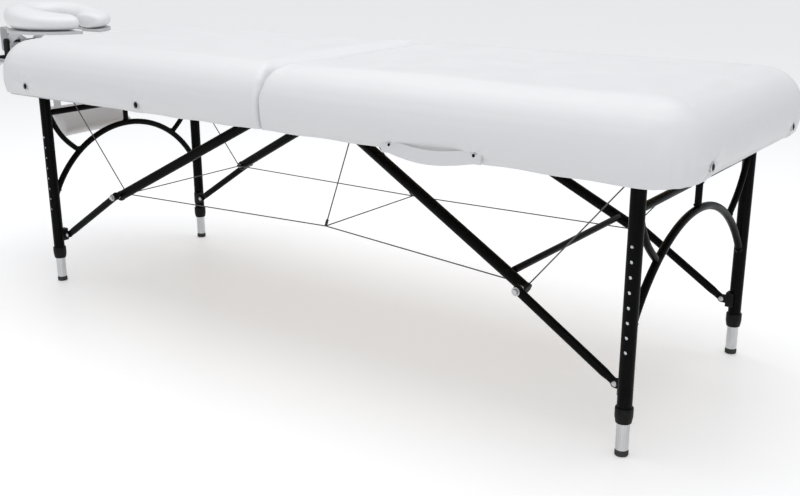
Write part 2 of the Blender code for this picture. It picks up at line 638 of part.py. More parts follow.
body("foot_panel", (0, 0, HINGE_Z))
body("head_panel", (0, 0, HINGE_Z), "foot_panel")
for which in ENDS:
    panel(which)
    leg_frame(which)
    struts(which)
carry_handle()
centre_hinge()
crossbar()
cable_truss()
face_cradle()
arm_rest()
print("knee", round(KNEE_X, 5), round(KNEE_Z, 5), "nodes",
      sum(o.type == "MESH" for o in bpy.data.objects))
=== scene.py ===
# %% [markdown]
# # A folding massage table
#
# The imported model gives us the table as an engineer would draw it: every tube, plate and joint in its real
# place. This notebook gives it its looks. Each step says what a piece is on the real table, how it could be
# made in Blender, and why it is made the way it is here.
#
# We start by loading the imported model. Everything after this is measured from it, so nothing has to be
# fitted by eye.

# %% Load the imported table
import json
import math

import bmesh
import bpy
import numpy as np
from mathutils import Euler, Matrix, Vector


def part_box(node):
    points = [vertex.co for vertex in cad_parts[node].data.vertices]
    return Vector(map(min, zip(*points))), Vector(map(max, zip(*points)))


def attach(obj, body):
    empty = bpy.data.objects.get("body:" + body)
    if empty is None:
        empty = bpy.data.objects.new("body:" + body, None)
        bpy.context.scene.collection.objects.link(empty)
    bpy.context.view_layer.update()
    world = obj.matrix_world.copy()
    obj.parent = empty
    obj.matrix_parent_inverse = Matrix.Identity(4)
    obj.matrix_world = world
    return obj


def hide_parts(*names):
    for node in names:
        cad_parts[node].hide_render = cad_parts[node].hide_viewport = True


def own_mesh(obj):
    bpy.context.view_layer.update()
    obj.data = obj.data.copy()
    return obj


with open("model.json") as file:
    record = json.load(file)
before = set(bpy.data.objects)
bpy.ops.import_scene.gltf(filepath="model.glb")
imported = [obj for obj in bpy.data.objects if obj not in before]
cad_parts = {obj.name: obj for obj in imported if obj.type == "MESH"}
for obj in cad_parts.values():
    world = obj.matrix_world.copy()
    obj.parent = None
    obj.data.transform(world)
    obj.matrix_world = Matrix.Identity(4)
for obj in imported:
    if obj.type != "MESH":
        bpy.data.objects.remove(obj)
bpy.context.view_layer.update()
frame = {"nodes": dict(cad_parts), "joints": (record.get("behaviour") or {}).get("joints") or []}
joints = {joint["name"]: joint for joint in frame["joints"]}
ENDS = {"foot": 1, "head": -1}
SIDES = {"near": -1, "far": 1}


def centre(node):
    """The middle of a node's box."""
    low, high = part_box(node)
    return np.array((low + high) / 2)


HINGE_X = centre("hinge_pin")[0]

# %% [markdown]
# ## Surfaces from arrays
#
# Nearly every part of the table is a round tube, a turned collar or a soft pad. All of them can be written
# as a grid of points: rows along the piece, columns around it. We fill the grid with numpy in one go, and a
# single helper turns any grid into a mesh. That is quicker than adding vertices one at a time, and the
# formula of each shape stays in one place.


# %% From a grid of points to a mesh
def surface(name, grid, around=True, lengthwise=False):
    """A mesh from grid[row, column] = (x, y, z): each cell is one quad. around joins the last column to the
    first, lengthwise the last row to the first. Points that coincide, as at a pole, are merged."""
    rows, columns = grid.shape[:2]
    index = np.arange(rows * columns).reshape(rows, columns)
    if around:
        index = np.concatenate([index, index[:, :1]], axis=1)
    if lengthwise:
        index = np.concatenate([index, index[:1]], axis=0)
    quads = np.stack([index[:-1, :-1], index[:-1, 1:], index[1:, 1:], index[1:, :-1]], axis=-1)
    mesh = bpy.data.meshes.new(name)
    mesh.from_pydata(grid.reshape(-1, 3).tolist(), [], quads.reshape(-1, 4).tolist())
    along = np.linspace(0, 1, index.shape[0])
    across = np.linspace(0, 1, index.shape[1])
    v, u = np.meshgrid(along, across, indexing="ij")
    corners = [(slice(None, -1), slice(None, -1)), (slice(None, -1), slice(1, None)),
               (slice(1, None), slice(1, None)), (slice(1, None), slice(None, -1))]
    uv = np.stack([np.stack([u[c], v[c]], axis=-1) for c in corners], axis=-2)
    layer = mesh.uv_layers.new(name="UVMap")
    layer.data.foreach_set("uv", uv.reshape(-1).astype(np.float32))
    bm = bmesh.new()
    bm.from_mesh(mesh)
    bmesh.ops.remove_doubles(bm, verts=bm.verts, dist=1e-6)
    bmesh.ops.recalc_face_normals(bm, faces=bm.faces)
    if bm.calc_volume(signed=True) < 0:
        bmesh.ops.reverse_faces(bm, faces=bm.faces)
    bm.to_mesh(mesh)
    bm.free()
    piece = bpy.data.objects.new(name, mesh)
    bpy.context.scene.collection.objects.link(piece)
    return piece


def tube(name, path, radius, side=(1, 0, 0), sides=32, edge=0.0012):
    """A bar along a path. At each point stands an oval square to the path: its first half-width lies along
    `side`, its second square to `side`. Both ends close over a small quarter-round edge."""
    path = np.asarray(path, float)
    half = np.broadcast_to(np.asarray(radius, float).reshape(-1, 1) if np.ndim(radius) == 1
                           else np.asarray(radius, float), (len(path), 2)).astype(float)
    along = np.gradient(path, axis=0)
    along /= np.linalg.norm(along, axis=1, keepdims=True)
    bend = np.linspace(math.pi / 2, 0, 5)
    for last in (0, -1):
        way = along[last] * (1 if last else -1)
        ring = path[last] + np.outer(edge * np.sin(bend) - edge, way)
        size = half[last] - edge + edge * np.cos(bend)[:, None]
        closed = np.vstack([ring[:1], ring])
        sizes = np.vstack([[0, 0], size])
        ways = np.repeat(along[last][None], len(closed), axis=0)
        if last:
            path, half = np.vstack([path[:-1], closed[::-1]]), np.vstack([half[:-1], sizes[::-1]])
            along = np.vstack([along[:-1], ways])
        else:
            path, half = np.vstack([closed, path[1:]]), np.vstack([sizes, half[1:]])
            along = np.vstack([ways, along[1:]])
    first = np.asarray(side, float) - along * (along @ np.asarray(side, float))[:, None]
    first /= np.linalg.norm(first, axis=1, keepdims=True)
    second = np.cross(along, first)
    turn = np.linspace(0, 2 * math.pi, sides, endpoint=False)
    grid = (path[:, None] + first[:, None] * (half[:, :1] * np.cos(turn))[..., None]
            + second[:, None] * (half[:, 1:] * np.sin(turn))[..., None])
    return surface(name, grid)


def turned(name, profile, at, axis=(0, 0, 1), sides=48):
    """A lathe shape: a profile of (radius, height) pairs, swept once around an axis through a point."""
    profile = np.asarray(profile, float)
    turn = np.linspace(0, 2 * math.pi, sides, endpoint=False)
    flat = np.stack([profile[:, :1] * np.cos(turn), profile[:, :1] * np.sin(turn),
                     np.repeat(profile[:, 1:], sides, axis=1)], axis=-1)
    spin = np.array(Vector((0, 0, 1)).rotation_difference(Vector(axis)).to_matrix())
    return surface(name, flat @ spin.T + np.asarray(at, float))


def joined(name, pieces):
    """Several meshes in one object: their vertices and faces side by side, as a welded group."""
    bm = bmesh.new()
    for piece in pieces:
        bm.from_mesh(piece.data)
        bpy.data.objects.remove(piece)
    mesh = bpy.data.meshes.new(name)
    bm.to_mesh(mesh)
    bm.free()
    whole = bpy.data.objects.new(name, mesh)
    bpy.context.scene.collection.objects.link(whole)
    return whole


def settled(piece):
    """Makes the modifiers on a piece final."""
    graph = bpy.context.evaluated_depsgraph_get()
    mesh = bpy.data.meshes.new_from_object(piece.evaluated_get(graph))
    piece.modifiers.clear()
    piece.data = mesh
    return piece


def ready(piece, finish, body, replaces=(), sharp=40):
    """The last step for each piece: smooth shading with sharp creases, its finish, and its body."""
    piece.data.shade_smooth()
    piece.data.set_sharp_from_angle(angle=math.radians(sharp))
    piece.data.materials.clear()
    piece.data.materials.append(finish)
    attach(piece, body)
    if replaces:
        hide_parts(*replaces)
    return piece


# %% [markdown]
# ## Finishes
#
# A finish is a Principled shader and one or two procedural patterns: one breaks up the colour, one the
# roughness, one the surface itself. An image texture would also work, but it stretches where a piece bends
# and goes soft when seen close. Patterns that read Object coordinates have the same scale everywhere, which
# suits powder coat and leather grain. Woven and wound things read their own UV map, so that the weave
# follows the strap or the cable.


# %% A small kit for building finishes
class Finish:
    """A material under construction, with short ways to add a pattern to its Principled shader."""

    def __init__(self, name, colour, roughness, metallic=0.0, specular=0.5, source="Object"):
        self.material = bpy.data.materials.new(name)
        self.material.use_nodes = True
        self.tree = self.material.node_tree
        self.shader = self.tree.nodes["Principled BSDF"]
        self.base = (*colour, 1.0)
        self.set("Base Color", self.base)
        self.set("Roughness", roughness)
        self.set("Metallic", metallic)
        self.set("Specular IOR Level", specular)
        self.place = self.tree.nodes.new("ShaderNodeTexCoord").outputs[source]

    def set(self, socket, value):
        self.shader.inputs[socket].default_value = value

    def mapped(self, stretch):
        node = self.tree.nodes.new("ShaderNodeMapping")
        node.inputs["Scale"].default_value = stretch
        self.tree.links.new(self.place, node.inputs["Vector"])
        return node.outputs["Vector"]

    def noise(self, scale, detail=3.0, stretch=(1, 1, 1)):
        node = self.tree.nodes.new("ShaderNodeTexNoise")
        node.inputs["Scale"].default_value = scale
        node.inputs["Detail"].default_value = detail
        self.tree.links.new(self.mapped(stretch), node.inputs["Vector"])
        return node.outputs["Fac"]

    def cells(self, scale, stretch=(1, 1, 1)):
        node = self.tree.nodes.new("ShaderNodeTexVoronoi")
        node.feature = "SMOOTH_F1"
        node.inputs["Scale"].default_value = scale
        self.tree.links.new(self.mapped(stretch), node.inputs["Vector"])
        return node.outputs["Distance"]

    def waves(self, scale, stretch=(1, 1, 1), direction="X", distortion=0.0):
        node = self.tree.nodes.new("ShaderNodeTexWave")
        node.bands_direction = direction
        node.inputs["Scale"].default_value = scale
        node.inputs["Distortion"].default_value = distortion
        self.tree.links.new(self.mapped(stretch), node.inputs["Vector"])
        return node.outputs["Fac"]

    def height(self):
        node = self.tree.nodes.new("ShaderNodeSeparateXYZ")
        self.tree.links.new(self.place, node.inputs[0])
        return node.outputs["Z"]

    def times(self, first, second):
        node = self.tree.nodes.new("ShaderNodeMath")
        node.operation = "MULTIPLY"
        self.tree.links.new(first, node.inputs[0])
        self.tree.links.new(second, node.inputs[1])
        return node.outputs[0]

    def between(self, pattern, low, high, start=0.3, stop=0.7):
        node = self.tree.nodes.new("ShaderNodeMapRange")
        node.inputs["From Min"].default_value = start
        node.inputs["From Max"].default_value = stop
        node.inputs["To Min"].default_value = low
        node.inputs["To Max"].default_value = high
        self.tree.links.new(pattern, node.inputs["Value"])
        return node.outputs["Result"]

    def tinted(self, pattern, colour, start=0.35, stop=0.7):
        node = self.tree.nodes.new("ShaderNodeMix")
        node.data_type = "RGBA"
        node.inputs[6].default_value = self.base
        node.inputs[7].default_value = (*colour, 1.0)
        self.tree.links.new(self.between(pattern, 0.0, 1.0, start, stop), node.inputs[0])
        self.tree.links.new(node.outputs[2], self.shader.inputs["Base Color"])
        return self

    def glossed(self, pattern, low, high):
        self.tree.links.new(self.between(pattern, low, high), self.shader.inputs["Roughness"])
        return self

    def raised(self, pattern, height, strength=1.0):
        node = self.tree.nodes.new("ShaderNodeBump")
        node.inputs["Distance"].default_value = height
        node.inputs["Strength"].default_value = strength
        self.tree.links.new(pattern, node.inputs["Height"])
        before = self.shader.inputs["Normal"].links
        if before:
            self.tree.links.new(before[0].from_socket, node.inputs["Normal"])
        self.tree.links.new(node.outputs["Normal"], self.shader.inputs["Normal"])
        return self


# %% The finishes themselves
def white_leather():
    """Synthetic leather: a fine pebble grain, a broad soft unevenness, and painted shade, greyer towards the
    hem.
    """
    made_of = Finish("white_leather", (0.66, 0.66, 0.67), 0.42, specular=0.4)
    # Painted shade: the colour goes from 0.66 grey below 0.525 m to 0.80 white above 0.635 m, so the skirts
    # darken towards the hem as if in shade, and pieces in this finish that sit low get the same darker grey.
    made_of.tinted(made_of.height(), (0.80, 0.80, 0.808), 0.525, 0.635)
    made_of.glossed(made_of.noise(14.0), 0.36, 0.50)
    made_of.raised(made_of.noise(9.0, 2.0), 0.0016, 0.35)
    made_of.raised(made_of.cells(850.0), 0.00012, 0.7)
    return made_of.material


def black_coat():
    """Powder coat: a faint orange peel over a nearly black, half-glossy skin."""
    made_of = Finish("black_powder_coat", (0.0012, 0.0012, 0.0013), 0.3, specular=0.06)
    made_of.tinted(made_of.noise(60.0), (0.0026, 0.0026, 0.0028))
    made_of.glossed(made_of.noise(25.0), 0.24, 0.38)
    made_of.raised(made_of.noise(900.0, 1.0), 0.00010, 0.6)
    return made_of.material


def black_nylon():
    made_of = Finish("black_nylon", (0.0025, 0.0025, 0.0027), 0.45, specular=0.15)
    made_of.tinted(made_of.noise(90.0), (0.007, 0.007, 0.0075))
    made_of.raised(made_of.noise(1600.0, 2.0), 0.00010, 0.6)
    return made_of.material


def silver_tube():
    """Brushed aluminium: long thin streaks along the tube in both the shine and the surface."""
    made_of = Finish("silver_aluminium", (0.62, 0.63, 0.64), 0.3, metallic=1.0)
    streaks = made_of.noise(30.0, 4.0, (40, 40, 1))
    made_of.tinted(streaks, (0.48, 0.49, 0.50))
    made_of.glossed(streaks, 0.24, 0.42)
    made_of.raised(streaks, 0.00004, 0.5)
    return made_of.material


def rail_metal():
    made_of = Finish("rail_aluminium", (0.50, 0.51, 0.52), 0.4, metallic=0.85)
    streaks = made_of.noise(20.0, 4.0, (1, 1, 60))
    made_of.tinted(streaks, (0.42, 0.43, 0.44))
    made_of.glossed(streaks, 0.34, 0.52)
    return made_of.material


def bright_steel():
    made_of = Finish("bright_steel", (0.56, 0.56, 0.57), 0.25, metallic=1.0)
    made_of.tinted(made_of.noise(220.0), (0.44, 0.44, 0.46))
    made_of.glossed(made_of.noise(400.0), 0.18, 0.38)
    return made_of.material


def dark_steel():
    made_of = Finish("dark_steel", (0.05, 0.05, 0.055), 0.3, metallic=0.8)
    made_of.tinted(made_of.noise(300.0), (0.09, 0.09, 0.095))
    made_of.glossed(made_of.noise(400.0), 0.25, 0.42)
    return made_of.material


def grey_moulding(name, shade):
    """Moulded plastic: a little mottled, with a fine spark-eroded texture."""
    made_of = Finish(name, (shade, shade, shade + 0.012), 0.45, specular=0.45)
    made_of.tinted(made_of.noise(30.0), (shade * 1.15, shade * 1.15, shade * 1.15 + 0.012))
    made_of.raised(made_of.noise(1400.0, 2.0), 0.00010, 0.6)
    return made_of.material


def foot_rubber():
    made_of = Finish("foot_rubber", (0.028, 0.028, 0.029), 0.75, specular=0.3)
    made_of.tinted(made_of.noise(150.0), (0.05, 0.05, 0.05))
    made_of.raised(made_of.noise(800.0, 2.0), 0.0002, 0.6)
    return made_of.material


def woven_band(name, colour, shade):
    """Webbing: crossed ribs from two waves, over the band's own UV map."""
    made_of = Finish(name, colour, 0.85, specular=0.2, source="UV")
    ribs = made_of.times(made_of.waves(18.0, (1, 1, 1), "X"), made_of.waves(70.0, (1, 1, 1), "Y"))
    made_of.tinted(ribs, shade, 0.0, 0.7)
    made_of.raised(ribs, 0.0003, 0.8)
    made_of.set("Sheen Weight", 0.15)
    return made_of.material


def wire_rope():
    """Plastic-coated wire rope: the strands show through as slanted ribs that wind round the cable."""
    made_of = Finish("wire_rope", (0.075, 0.075, 0.078), 0.42, metallic=0.3, source="UV")
    strands = made_of.waves(1.0, (3.0, 60.0, 1), "DIAGONAL")
    made_of.tinted(strands, (0.13, 0.13, 0.135), 0.2, 0.9)
    made_of.raised(strands, 0.0003, 0.7)
    return made_of.material


def birch():
    """Plywood: long wavy grain lines across a pale, clear-lacquered birch face."""
    made_of = Finish("birch_plywood", (0.62, 0.47, 0.31), 0.45)
    grain = made_of.waves(9.0, (1.0, 9.0, 1.0), "Y", 6.0)
    made_of.tinted(grain, (0.54, 0.39, 0.24), 0.1, 0.9)
    made_of.glossed(made_of.noise(12.0), 0.4, 0.55)
    made_of.raised(grain, 0.0001, 0.4)
    return made_of.material


LEATHER, COAT, NYLON, SILVER = white_leather(), black_coat(), black_nylon(), silver_tube()
RAIL, STEEL, DARK, GREY = rail_metal(), bright_steel(), dark_steel(), grey_moulding("grey_plastic", 0.33)
PALE_GREY = grey_moulding("pale_grey_plastic", 0.52)
RUBBER, ROPE, BIRCH = foot_rubber(), wire_rope(), birch()
BAND = woven_band("white_webbing", (0.74, 0.74, 0.75), (0.60, 0.60, 0.61))
print(len(bpy.data.materials), "finishes")


# %% [markdown]
# ## The two pads
#
# A massage table's pad is a block of soft foam under a stretched cover. The foam pushes outwards and the
# cover pulls its edges round, so no face is truly flat. A bevelled box would look like a mattress made of
# stone. We start from a slightly smaller block with a big round upper edge, and let a short cloth simulation
# blow it up against its own skin. The hem stays where it is stapled to the wooden deck.

# %% The plan of a pad and its starting block
END_CORNER, HINGE_CORNER = 0.070, 0.012
SHRINK, SKIN, COVER_THICK = 0.003, 0.0006, 0.0013
ROUND_IN, ROUND_DOWN = 0.060, 0.054
HEM = {end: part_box(f"{end}_cover")[0].z for end in ENDS}
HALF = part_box("foot_cover")[1].y
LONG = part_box("foot_cover")[1].x - HINGE_X
DECK_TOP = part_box("foot_board")[1].z


def plan(end, inset, at_hinge=None, per_corner=16):
    """The plan of a pad as a ring of (x, y): a rectangle drawn in by inset on every side, with a quarter
    circle at each corner, large at the outer end and small beside the hinge."""
    near = 0.001 + (inset if at_hinge is None else at_hinge)
    far, half = LONG - inset, HALF - inset
    big, small = max(END_CORNER - inset, 0.014), max(HINGE_CORNER - inset, 0.004)
    turn = np.linspace(0, math.pi / 2, per_corner)
    ring = []
    for cx, cy, radius, start in ((far - big, -half + big, big, -math.pi / 2),
                                  (far - big, half - big, big, 0),
                                  (near + small, half - small, small, math.pi / 2),
                                  (near + small, -half + small, small, math.pi)):
        ring.append(np.stack([cx + radius * np.cos(turn + start), cy + radius * np.sin(turn + start)], 1))
    ring = np.concatenate(ring)
    return ring * (ENDS[end], 1) + (HINGE_X, 0)


def layered(name, end, rows):
    """A closed block from rows of (inset, inset at the hinge, height), each one ring of the plan, with a
    single point in the middle to close the first and the last row."""
    plans = [plan(end, inset, hinge) for inset, hinge, _ in rows]
    rings = [np.column_stack([flat, np.full(len(flat), row[2])]) for flat, row in zip(plans, rows)]
    for row in (0, -1):
        middle = np.repeat(rings[row].mean(axis=0)[None], len(rings[row]), axis=0)
        rings = [middle, *rings] if row == 0 else [*rings, middle]
    return surface(name, np.array(rings))


def starting_block(end):
    """Straight sides, then a quarter of an oval over the upper edge, tighter beside the hinge."""
    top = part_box(f"{end}_cover")[1].z - SHRINK
    rows = [(SKIN, SKIN, HEM[end])]
    for turn in np.linspace(0, math.pi / 2, 9):
        inward = 1 - math.cos(turn)
        rows.append((SKIN + ROUND_IN * inward, SKIN + 0.28 * ROUND_IN * inward,
                     top - ROUND_DOWN * (1 - math.sin(turn))))
    return layered(f"{end}_pad", end, rows)


print("pad", round(LONG, 3), "long", round(2 * HALF, 3), "wide, hem at", round(HEM["foot"], 4))


# %% Blowing up a soft shape
def points_of(piece):
    points = np.empty(len(piece.data.vertices) * 3, np.float32)
    piece.data.vertices.foreach_get("co", points)
    return points.reshape(-1, 3).astype(float)


def move_to(piece, points):
    piece.data.vertices.foreach_set("co", points.astype(np.float32).ravel())
    piece.data.update()


def remeshed(piece, voxel):
    step = piece.modifiers.new("even_skin", "REMESH")
    step.mode = "VOXEL"
    step.voxel_size = voxel
    return settled(piece)


def smoother(piece):
    step = piece.modifiers.new("smoother", "SUBSURF")
    step.levels = step.render_levels = 1
    return settled(piece)


CLOTH_STEPS = 20


def blown_up(piece, most, held=None, pressure=4.0):
    """Cloth with air pressure inside and no gravity. A point moves by most * tanh(distance / most), so the
    skin tightens gently and never goes further than most. held marks the points that stay put."""
    before = points_of(piece)
    cloth = piece.modifiers.new("cloth", "CLOTH")
    cloth.settings.use_pressure = True
    cloth.settings.uniform_pressure_force = pressure
    cloth.settings.effector_weights.gravity = 0
    cloth.point_cache.frame_end = CLOTH_STEPS
    if held is not None:
        group = piece.vertex_groups.new(name="held")
        group.add(np.flatnonzero(held(before)).tolist(), 1.0, "REPLACE")
        cloth.settings.vertex_group_mass = "held"
    for step in range(1, CLOTH_STEPS + 1):
        bpy.context.scene.frame_set(step)
    settled(piece)
    bpy.context.scene.frame_set(1)
    piece.vertex_groups.clear()
    move = points_of(piece) - before
    length = np.linalg.norm(move, axis=1, keepdims=True) + 1e-12
    move_to(piece, before + move * most * np.tanh(length / most) / length)
    print(piece.name, len(before), "points, moved up to", round(float(length.max()) * 1000, 1), "mm")
    return smoother(piece)


def carved(piece, cutter):
    """One exact Boolean cut, made final at once."""
    step = piece.modifiers.new("carve", "BOOLEAN")
    step.operation = "DIFFERENCE"
    step.object = cutter
    settled(piece)
    bpy.data.objects.remove(cutter)
    return piece


# %% [markdown]
# A real cover is never smooth where it is fixed. It gathers in small upright folds round the corners, rises
# in a ring round each stud, and its hem hangs lower in some places than in others. These could be sculpted
# by hand. Here each one is a formula in the distance along the edge, added to the simulated skin, so every
# fold only ever goes outwards, away from the deck behind it.

# %% Studs, gathers and the hem
STUDS = {"foot": {"side": [(0.347, 0.524), (0.537, 0.526)], "end": [(-0.244, 0.541), (0.211, 0.541)]},
         "head": {"side": [(0.374, 0.537), (0.790, 0.546)], "end": []}}
BULGE, FOLD_DEEP, FOLD_PITCH, RING_DEEP = 0.0085, 0.0034, 0.019, 0.0042
FOOT_SAG, END_RISE, HEAD_RISE, HEM_RIPPLE = 0.008, 0.0025, 0.004, 0.0008


def ease(value, start, stop):
    """0 before start, 1 after stop, and a smooth S between."""
    share = np.clip((value - start) / (stop - start), 0, 1)
    return share * share * (3 - 2 * share)


def edge_frame(end, points):
    """For each point: its distance outside the plan (negative inside), and the outward direction, from the
    signed distance to a rounded rectangle."""
    x = ENDS[end] * (points[:, 0] - HINGE_X)
    y = points[:, 1]
    radius = np.where(x > LONG / 2, END_CORNER, HINGE_CORNER)
    out = np.stack([np.abs(x - LONG / 2) - (LONG / 2 - radius), np.abs(y) - (HALF - radius)], 1)
    over = np.maximum(out, 0)
    reach = np.linalg.norm(over, axis=1)
    distance = reach + np.minimum(out.max(axis=1), 0) - radius
    way = np.where(reach[:, None] > 0, over / (reach[:, None] + 1e-12), out == out.max(axis=1)[:, None])
    signs = np.stack([np.where(x > LONG / 2, 1, -1), np.where(y > 0, 1, -1)], 1)
    return x, y, distance, way * signs


def fitted_cover(end, points):
    """Adds the folds, the rings round the studs and the uneven hem to a pad's points."""
    x, y, distance, way = edge_frame(end, points)
    z = points[:, 2]
    tight = np.clip(-SKIN - distance, 0, 0.012) * (1 - ease(z, DECK_TOP - 0.004, DECK_TOP + 0.022))
    on_wall = ease(distance, -0.030, -0.012)
    low = 1 - ease(z, HEM[end], 0.600)
    corner = (x > LONG / 2) * np.clip(2 * np.abs(way[:, 0] * way[:, 1]), 0, 1)
    along = np.arctan2(way[:, 1], way[:, 0]) * END_CORNER
    folds = 0.5 + 0.5 * np.sin(along * 2 * math.pi / FOLD_PITCH + 1.3 * np.sin(along * 61))
    rise = np.clip((z - HEM[end]) / 0.112, 0, 1)
    push = BULGE * np.sin(math.pi * rise ** 0.9) + FOLD_DEEP * folds * corner * low
    push += 0.0009 * (1 + np.sin(x * 31 + 2 * np.sin(x * 9)) * np.sin(y * 27 + z * 60)) * low
    near, tip = np.clip(-way[:, 1], 0, 1), np.clip(way[:, 0], 0, 1)
    for place, studs in STUDS[end].items():
        for u, height in studs:
            flat = np.hypot((x if place == "side" else y) - u, z - height)
            turn = np.arctan2(z - height, (x if place == "side" else y) - u)
            ring = (1 - np.exp(-(flat / 0.012) ** 2)) * np.exp(-(flat / 0.038) ** 2)
            ripple = 1 + 0.45 * np.sin(7 * turn + u * 40)
            push += RING_DEEP * ring * ripple * (near if place == "side" else tip) ** 2
    moved = points.copy()
    moved[:, 0] += ENDS[end] * way[:, 0] * (push * on_wall * (x > 0.02) + tight)
    moved[:, 1] += way[:, 1] * (push * on_wall + tight)
    hang = (1 - ease(z, HEM[end], 0.610)) * ease(distance, -0.020, -0.010)
    if end == "foot":
        moved[:, 2] -= FOOT_SAG * ease(x, 0.20, 0.85) * near ** 2 * hang
        moved[:, 2] += END_RISE * tip ** 4 * ease(y, -0.31, -0.22) * hang * (x > LONG / 2)
    else:
        moved[:, 2] += HEAD_RISE * ease(x, 0.20, 0.85) * near ** 2 * hang
    moved[:, 2] += HEM_RIPPLE * np.sin(x * 43 + y * 37) * hang
    across = np.maximum(ENDS[end] * (moved[:, 0] - HINGE_X), 0.0011)
    moved[:, 0] = HINGE_X + ENDS[end] * across
    crown = ease(z, 0.63, 0.65)
    moved[:, 2] += crown * 0.0012 * np.sin(x * 11 + 1.0) * np.sin(y * 9 + 0.5)
    return moved


def opened_below(piece, hem):
    """Takes the underside away, where the deck closes the pad, and levels the cut edge with the hem."""
    bm = bmesh.new()
    bm.from_mesh(piece.data)
    under = [face for face in bm.faces
             if face.normal.z < -0.6 and face.calc_center_median().z < hem + 0.01]
    bmesh.ops.delete(bm, geom=under, context="FACES")
    for edge in (edge for edge in bm.edges if edge.is_boundary):
        for point in edge.verts:
            point.co.z = hem
    bm.to_mesh(piece.data)
    bm.free()
    return piece


PAD_VOXEL, PAD_SWELL, PAD_PRESSURE, STAPLED = 0.010, 0.005, 0.8, 0.012


def pad(end):
    """The block, its even skin, the simulation, the open underside and the folds, then the thickness."""
    body = remeshed(starting_block(end), PAD_VOXEL)
    blown_up(body, PAD_SWELL, held=lambda points: points[:, 2] < HEM[end] + STAPLED, pressure=PAD_PRESSURE)
    opened_below(body, HEM[end])
    move_to(body, fitted_cover(end, points_of(body)))
    thick = body.modifiers.new("cover_thickness", "SOLIDIFY")
    thick.thickness = COVER_THICK
    thick.offset = -1.0
    settled(body)
    ready(body, LEATHER, f"{end}_panel", (f"{end}_cover", f"{end}_foam"))
    return body


PADS = {end: pad(end) for end in ENDS}
for end, body in PADS.items():
    top = float(points_of(body)[:, 2].max())
    print(body.name, len(body.data.polygons), "faces, top at", round(top, 4))


# %% [markdown]
# ## Press studs and the carrying handle
#
# Each stud is a dark snap cap in a bright ring. A stud could be a sphere squashed flat, but a lathe profile
# gives the rolled ring and the shallow dome that catch the light. The handle is one band of the cover's own
# white material, fixed under two studs, and it hangs away from the skirt under its own weight.

# %% Studs
CAP_R, RING_BORE, RING_OUT, STUD_DEEP = 0.0062, 0.0064, 0.0094, 0.004


def skirt_at(end, place, u, height):
    """Where the finished skirt stands at a stud: the outermost of its points within a few millimetres."""
    points = points_of(PADS[end])
    x = ENDS[end] * (points[:, 0] - HINGE_X)
    along, out = (x, -points[:, 1]) if place == "side" else (points[:, 1], x)
    close = (np.hypot(along - u, points[:, 2] - height) < 0.007) & (out > 0.2)
    face = float(out[close].max())
    if place == "side":
        return np.array([HINGE_X + ENDS[end] * u, -face, height]), (0, -1, 0)
    return np.array([HINGE_X + face, u, height]), (1, 0, 0)


def studs(end):
    caps, rings = [], []
    for place, spots in STUDS[end].items():
        for u, height in spots:
            at, way = skirt_at(end, place, u, height)
            bend = np.linspace(0, math.pi / 2, 7)
            dome = np.column_stack([CAP_R * np.cos(bend), 0.0012 + 0.0026 * np.sin(bend)])
            caps.append(turned("cap", [(0, -STUD_DEEP), (CAP_R, -STUD_DEEP), *dome], at, way, 32))
            lip = np.linspace(-0.3, math.pi + 0.3, 9)
            roll = np.column_stack([0.0079 + 0.0016 * np.cos(lip), 0.0010 + 0.0016 * np.sin(lip)])
            rings.append(turned("ring", [(RING_BORE, -STUD_DEEP), (RING_OUT, -STUD_DEEP), *roll,
                                         (RING_BORE, -STUD_DEEP)], at, way, 32))
    ready(joined(f"{end}_stud_caps", caps), NYLON, f"{end}_panel")
    ready(joined(f"{end}_stud_rings", rings), STEEL, f"{end}_panel")
    return len(caps)


print("studs", {end: studs(end) for end in ENDS})


# %% The carrying handle
def band(name, path, across, width, thick, crown=0.0):
    """A flat strap along a path. across is the direction of its width; its section is a thin rounded
    rectangle, |u/width|^8 + |v/thick|^2 = 1, with its middle raised by crown."""
    path = np.asarray(path, float)
    along = np.gradient(path, axis=0)
    along /= np.linalg.norm(along, axis=1, keepdims=True)
    wide = np.broadcast_to(np.asarray(across, float), path.shape)
    wide = wide - along * np.sum(wide * along, axis=1, keepdims=True)
    wide /= np.linalg.norm(wide, axis=1, keepdims=True)
    up = np.cross(along, wide)
    turn = np.linspace(0, 2 * math.pi, 40, endpoint=False)
    u = np.sign(np.cos(turn)) * np.abs(np.cos(turn)) ** 0.25 * width / 2
    v = np.sin(turn) * thick / 2 + crown * (1 - (2 * u / width) ** 2)
    grid = path[:, None] + wide[:, None] * u[None, :, None] + up[:, None] * v[None, :, None]
    ends = [np.repeat(grid[row].mean(axis=0)[None, None], 40, axis=1) for row in (0, -1)]
    return surface(name, np.concatenate([ends[0], grid, ends[1]]))


HANDLE_OUT, HANDLE_DROOP, HANDLE_WIDE, HANDLE_THICK = 0.011, 0.010, 0.027, 0.0030


def handle():
    """A band from stud to stud: it leaves the skirt by a half sine, and droops by another."""
    first, second = (skirt_at("foot", "side", u, z)[0] for u, z in STUDS["foot"]["side"])
    share = np.linspace(-0.09, 1.09, 61)[:, None]
    free = np.sin(np.clip(share, 0, 1) * math.pi)
    path = first + (second - first) * share + np.array([0, -0.0012, 0])
    path = path + free * np.array([0, -HANDLE_OUT, -HANDLE_DROOP])
    piece = band("carrying_handle", path, (0, 0.25, 1), HANDLE_WIDE, HANDLE_THICK, 0.0008)
    return ready(piece, LEATHER, "foot_panel", ("carry_handle",))


print("handle", np.round(np.ptp(points_of(handle()), axis=0), 3))


# %% [markdown]
# ## The telescopic legs
#
# Each leg is a black tube with a row of holes, a silver leg that slides inside it, a plastic collar that
# guides it and a rubber foot. A leg could be a plain cylinder with dots painted on, but the holes are real
# here: they are drilled with one Boolean, so that the silver shows through them at every height.

# %% Legs
LEG_R, BORE_R, INNER_R, HOLE_R, HOLE_PITCH, HOLES = 0.014, 0.0126, 0.0122, 0.0036, 0.028, 8


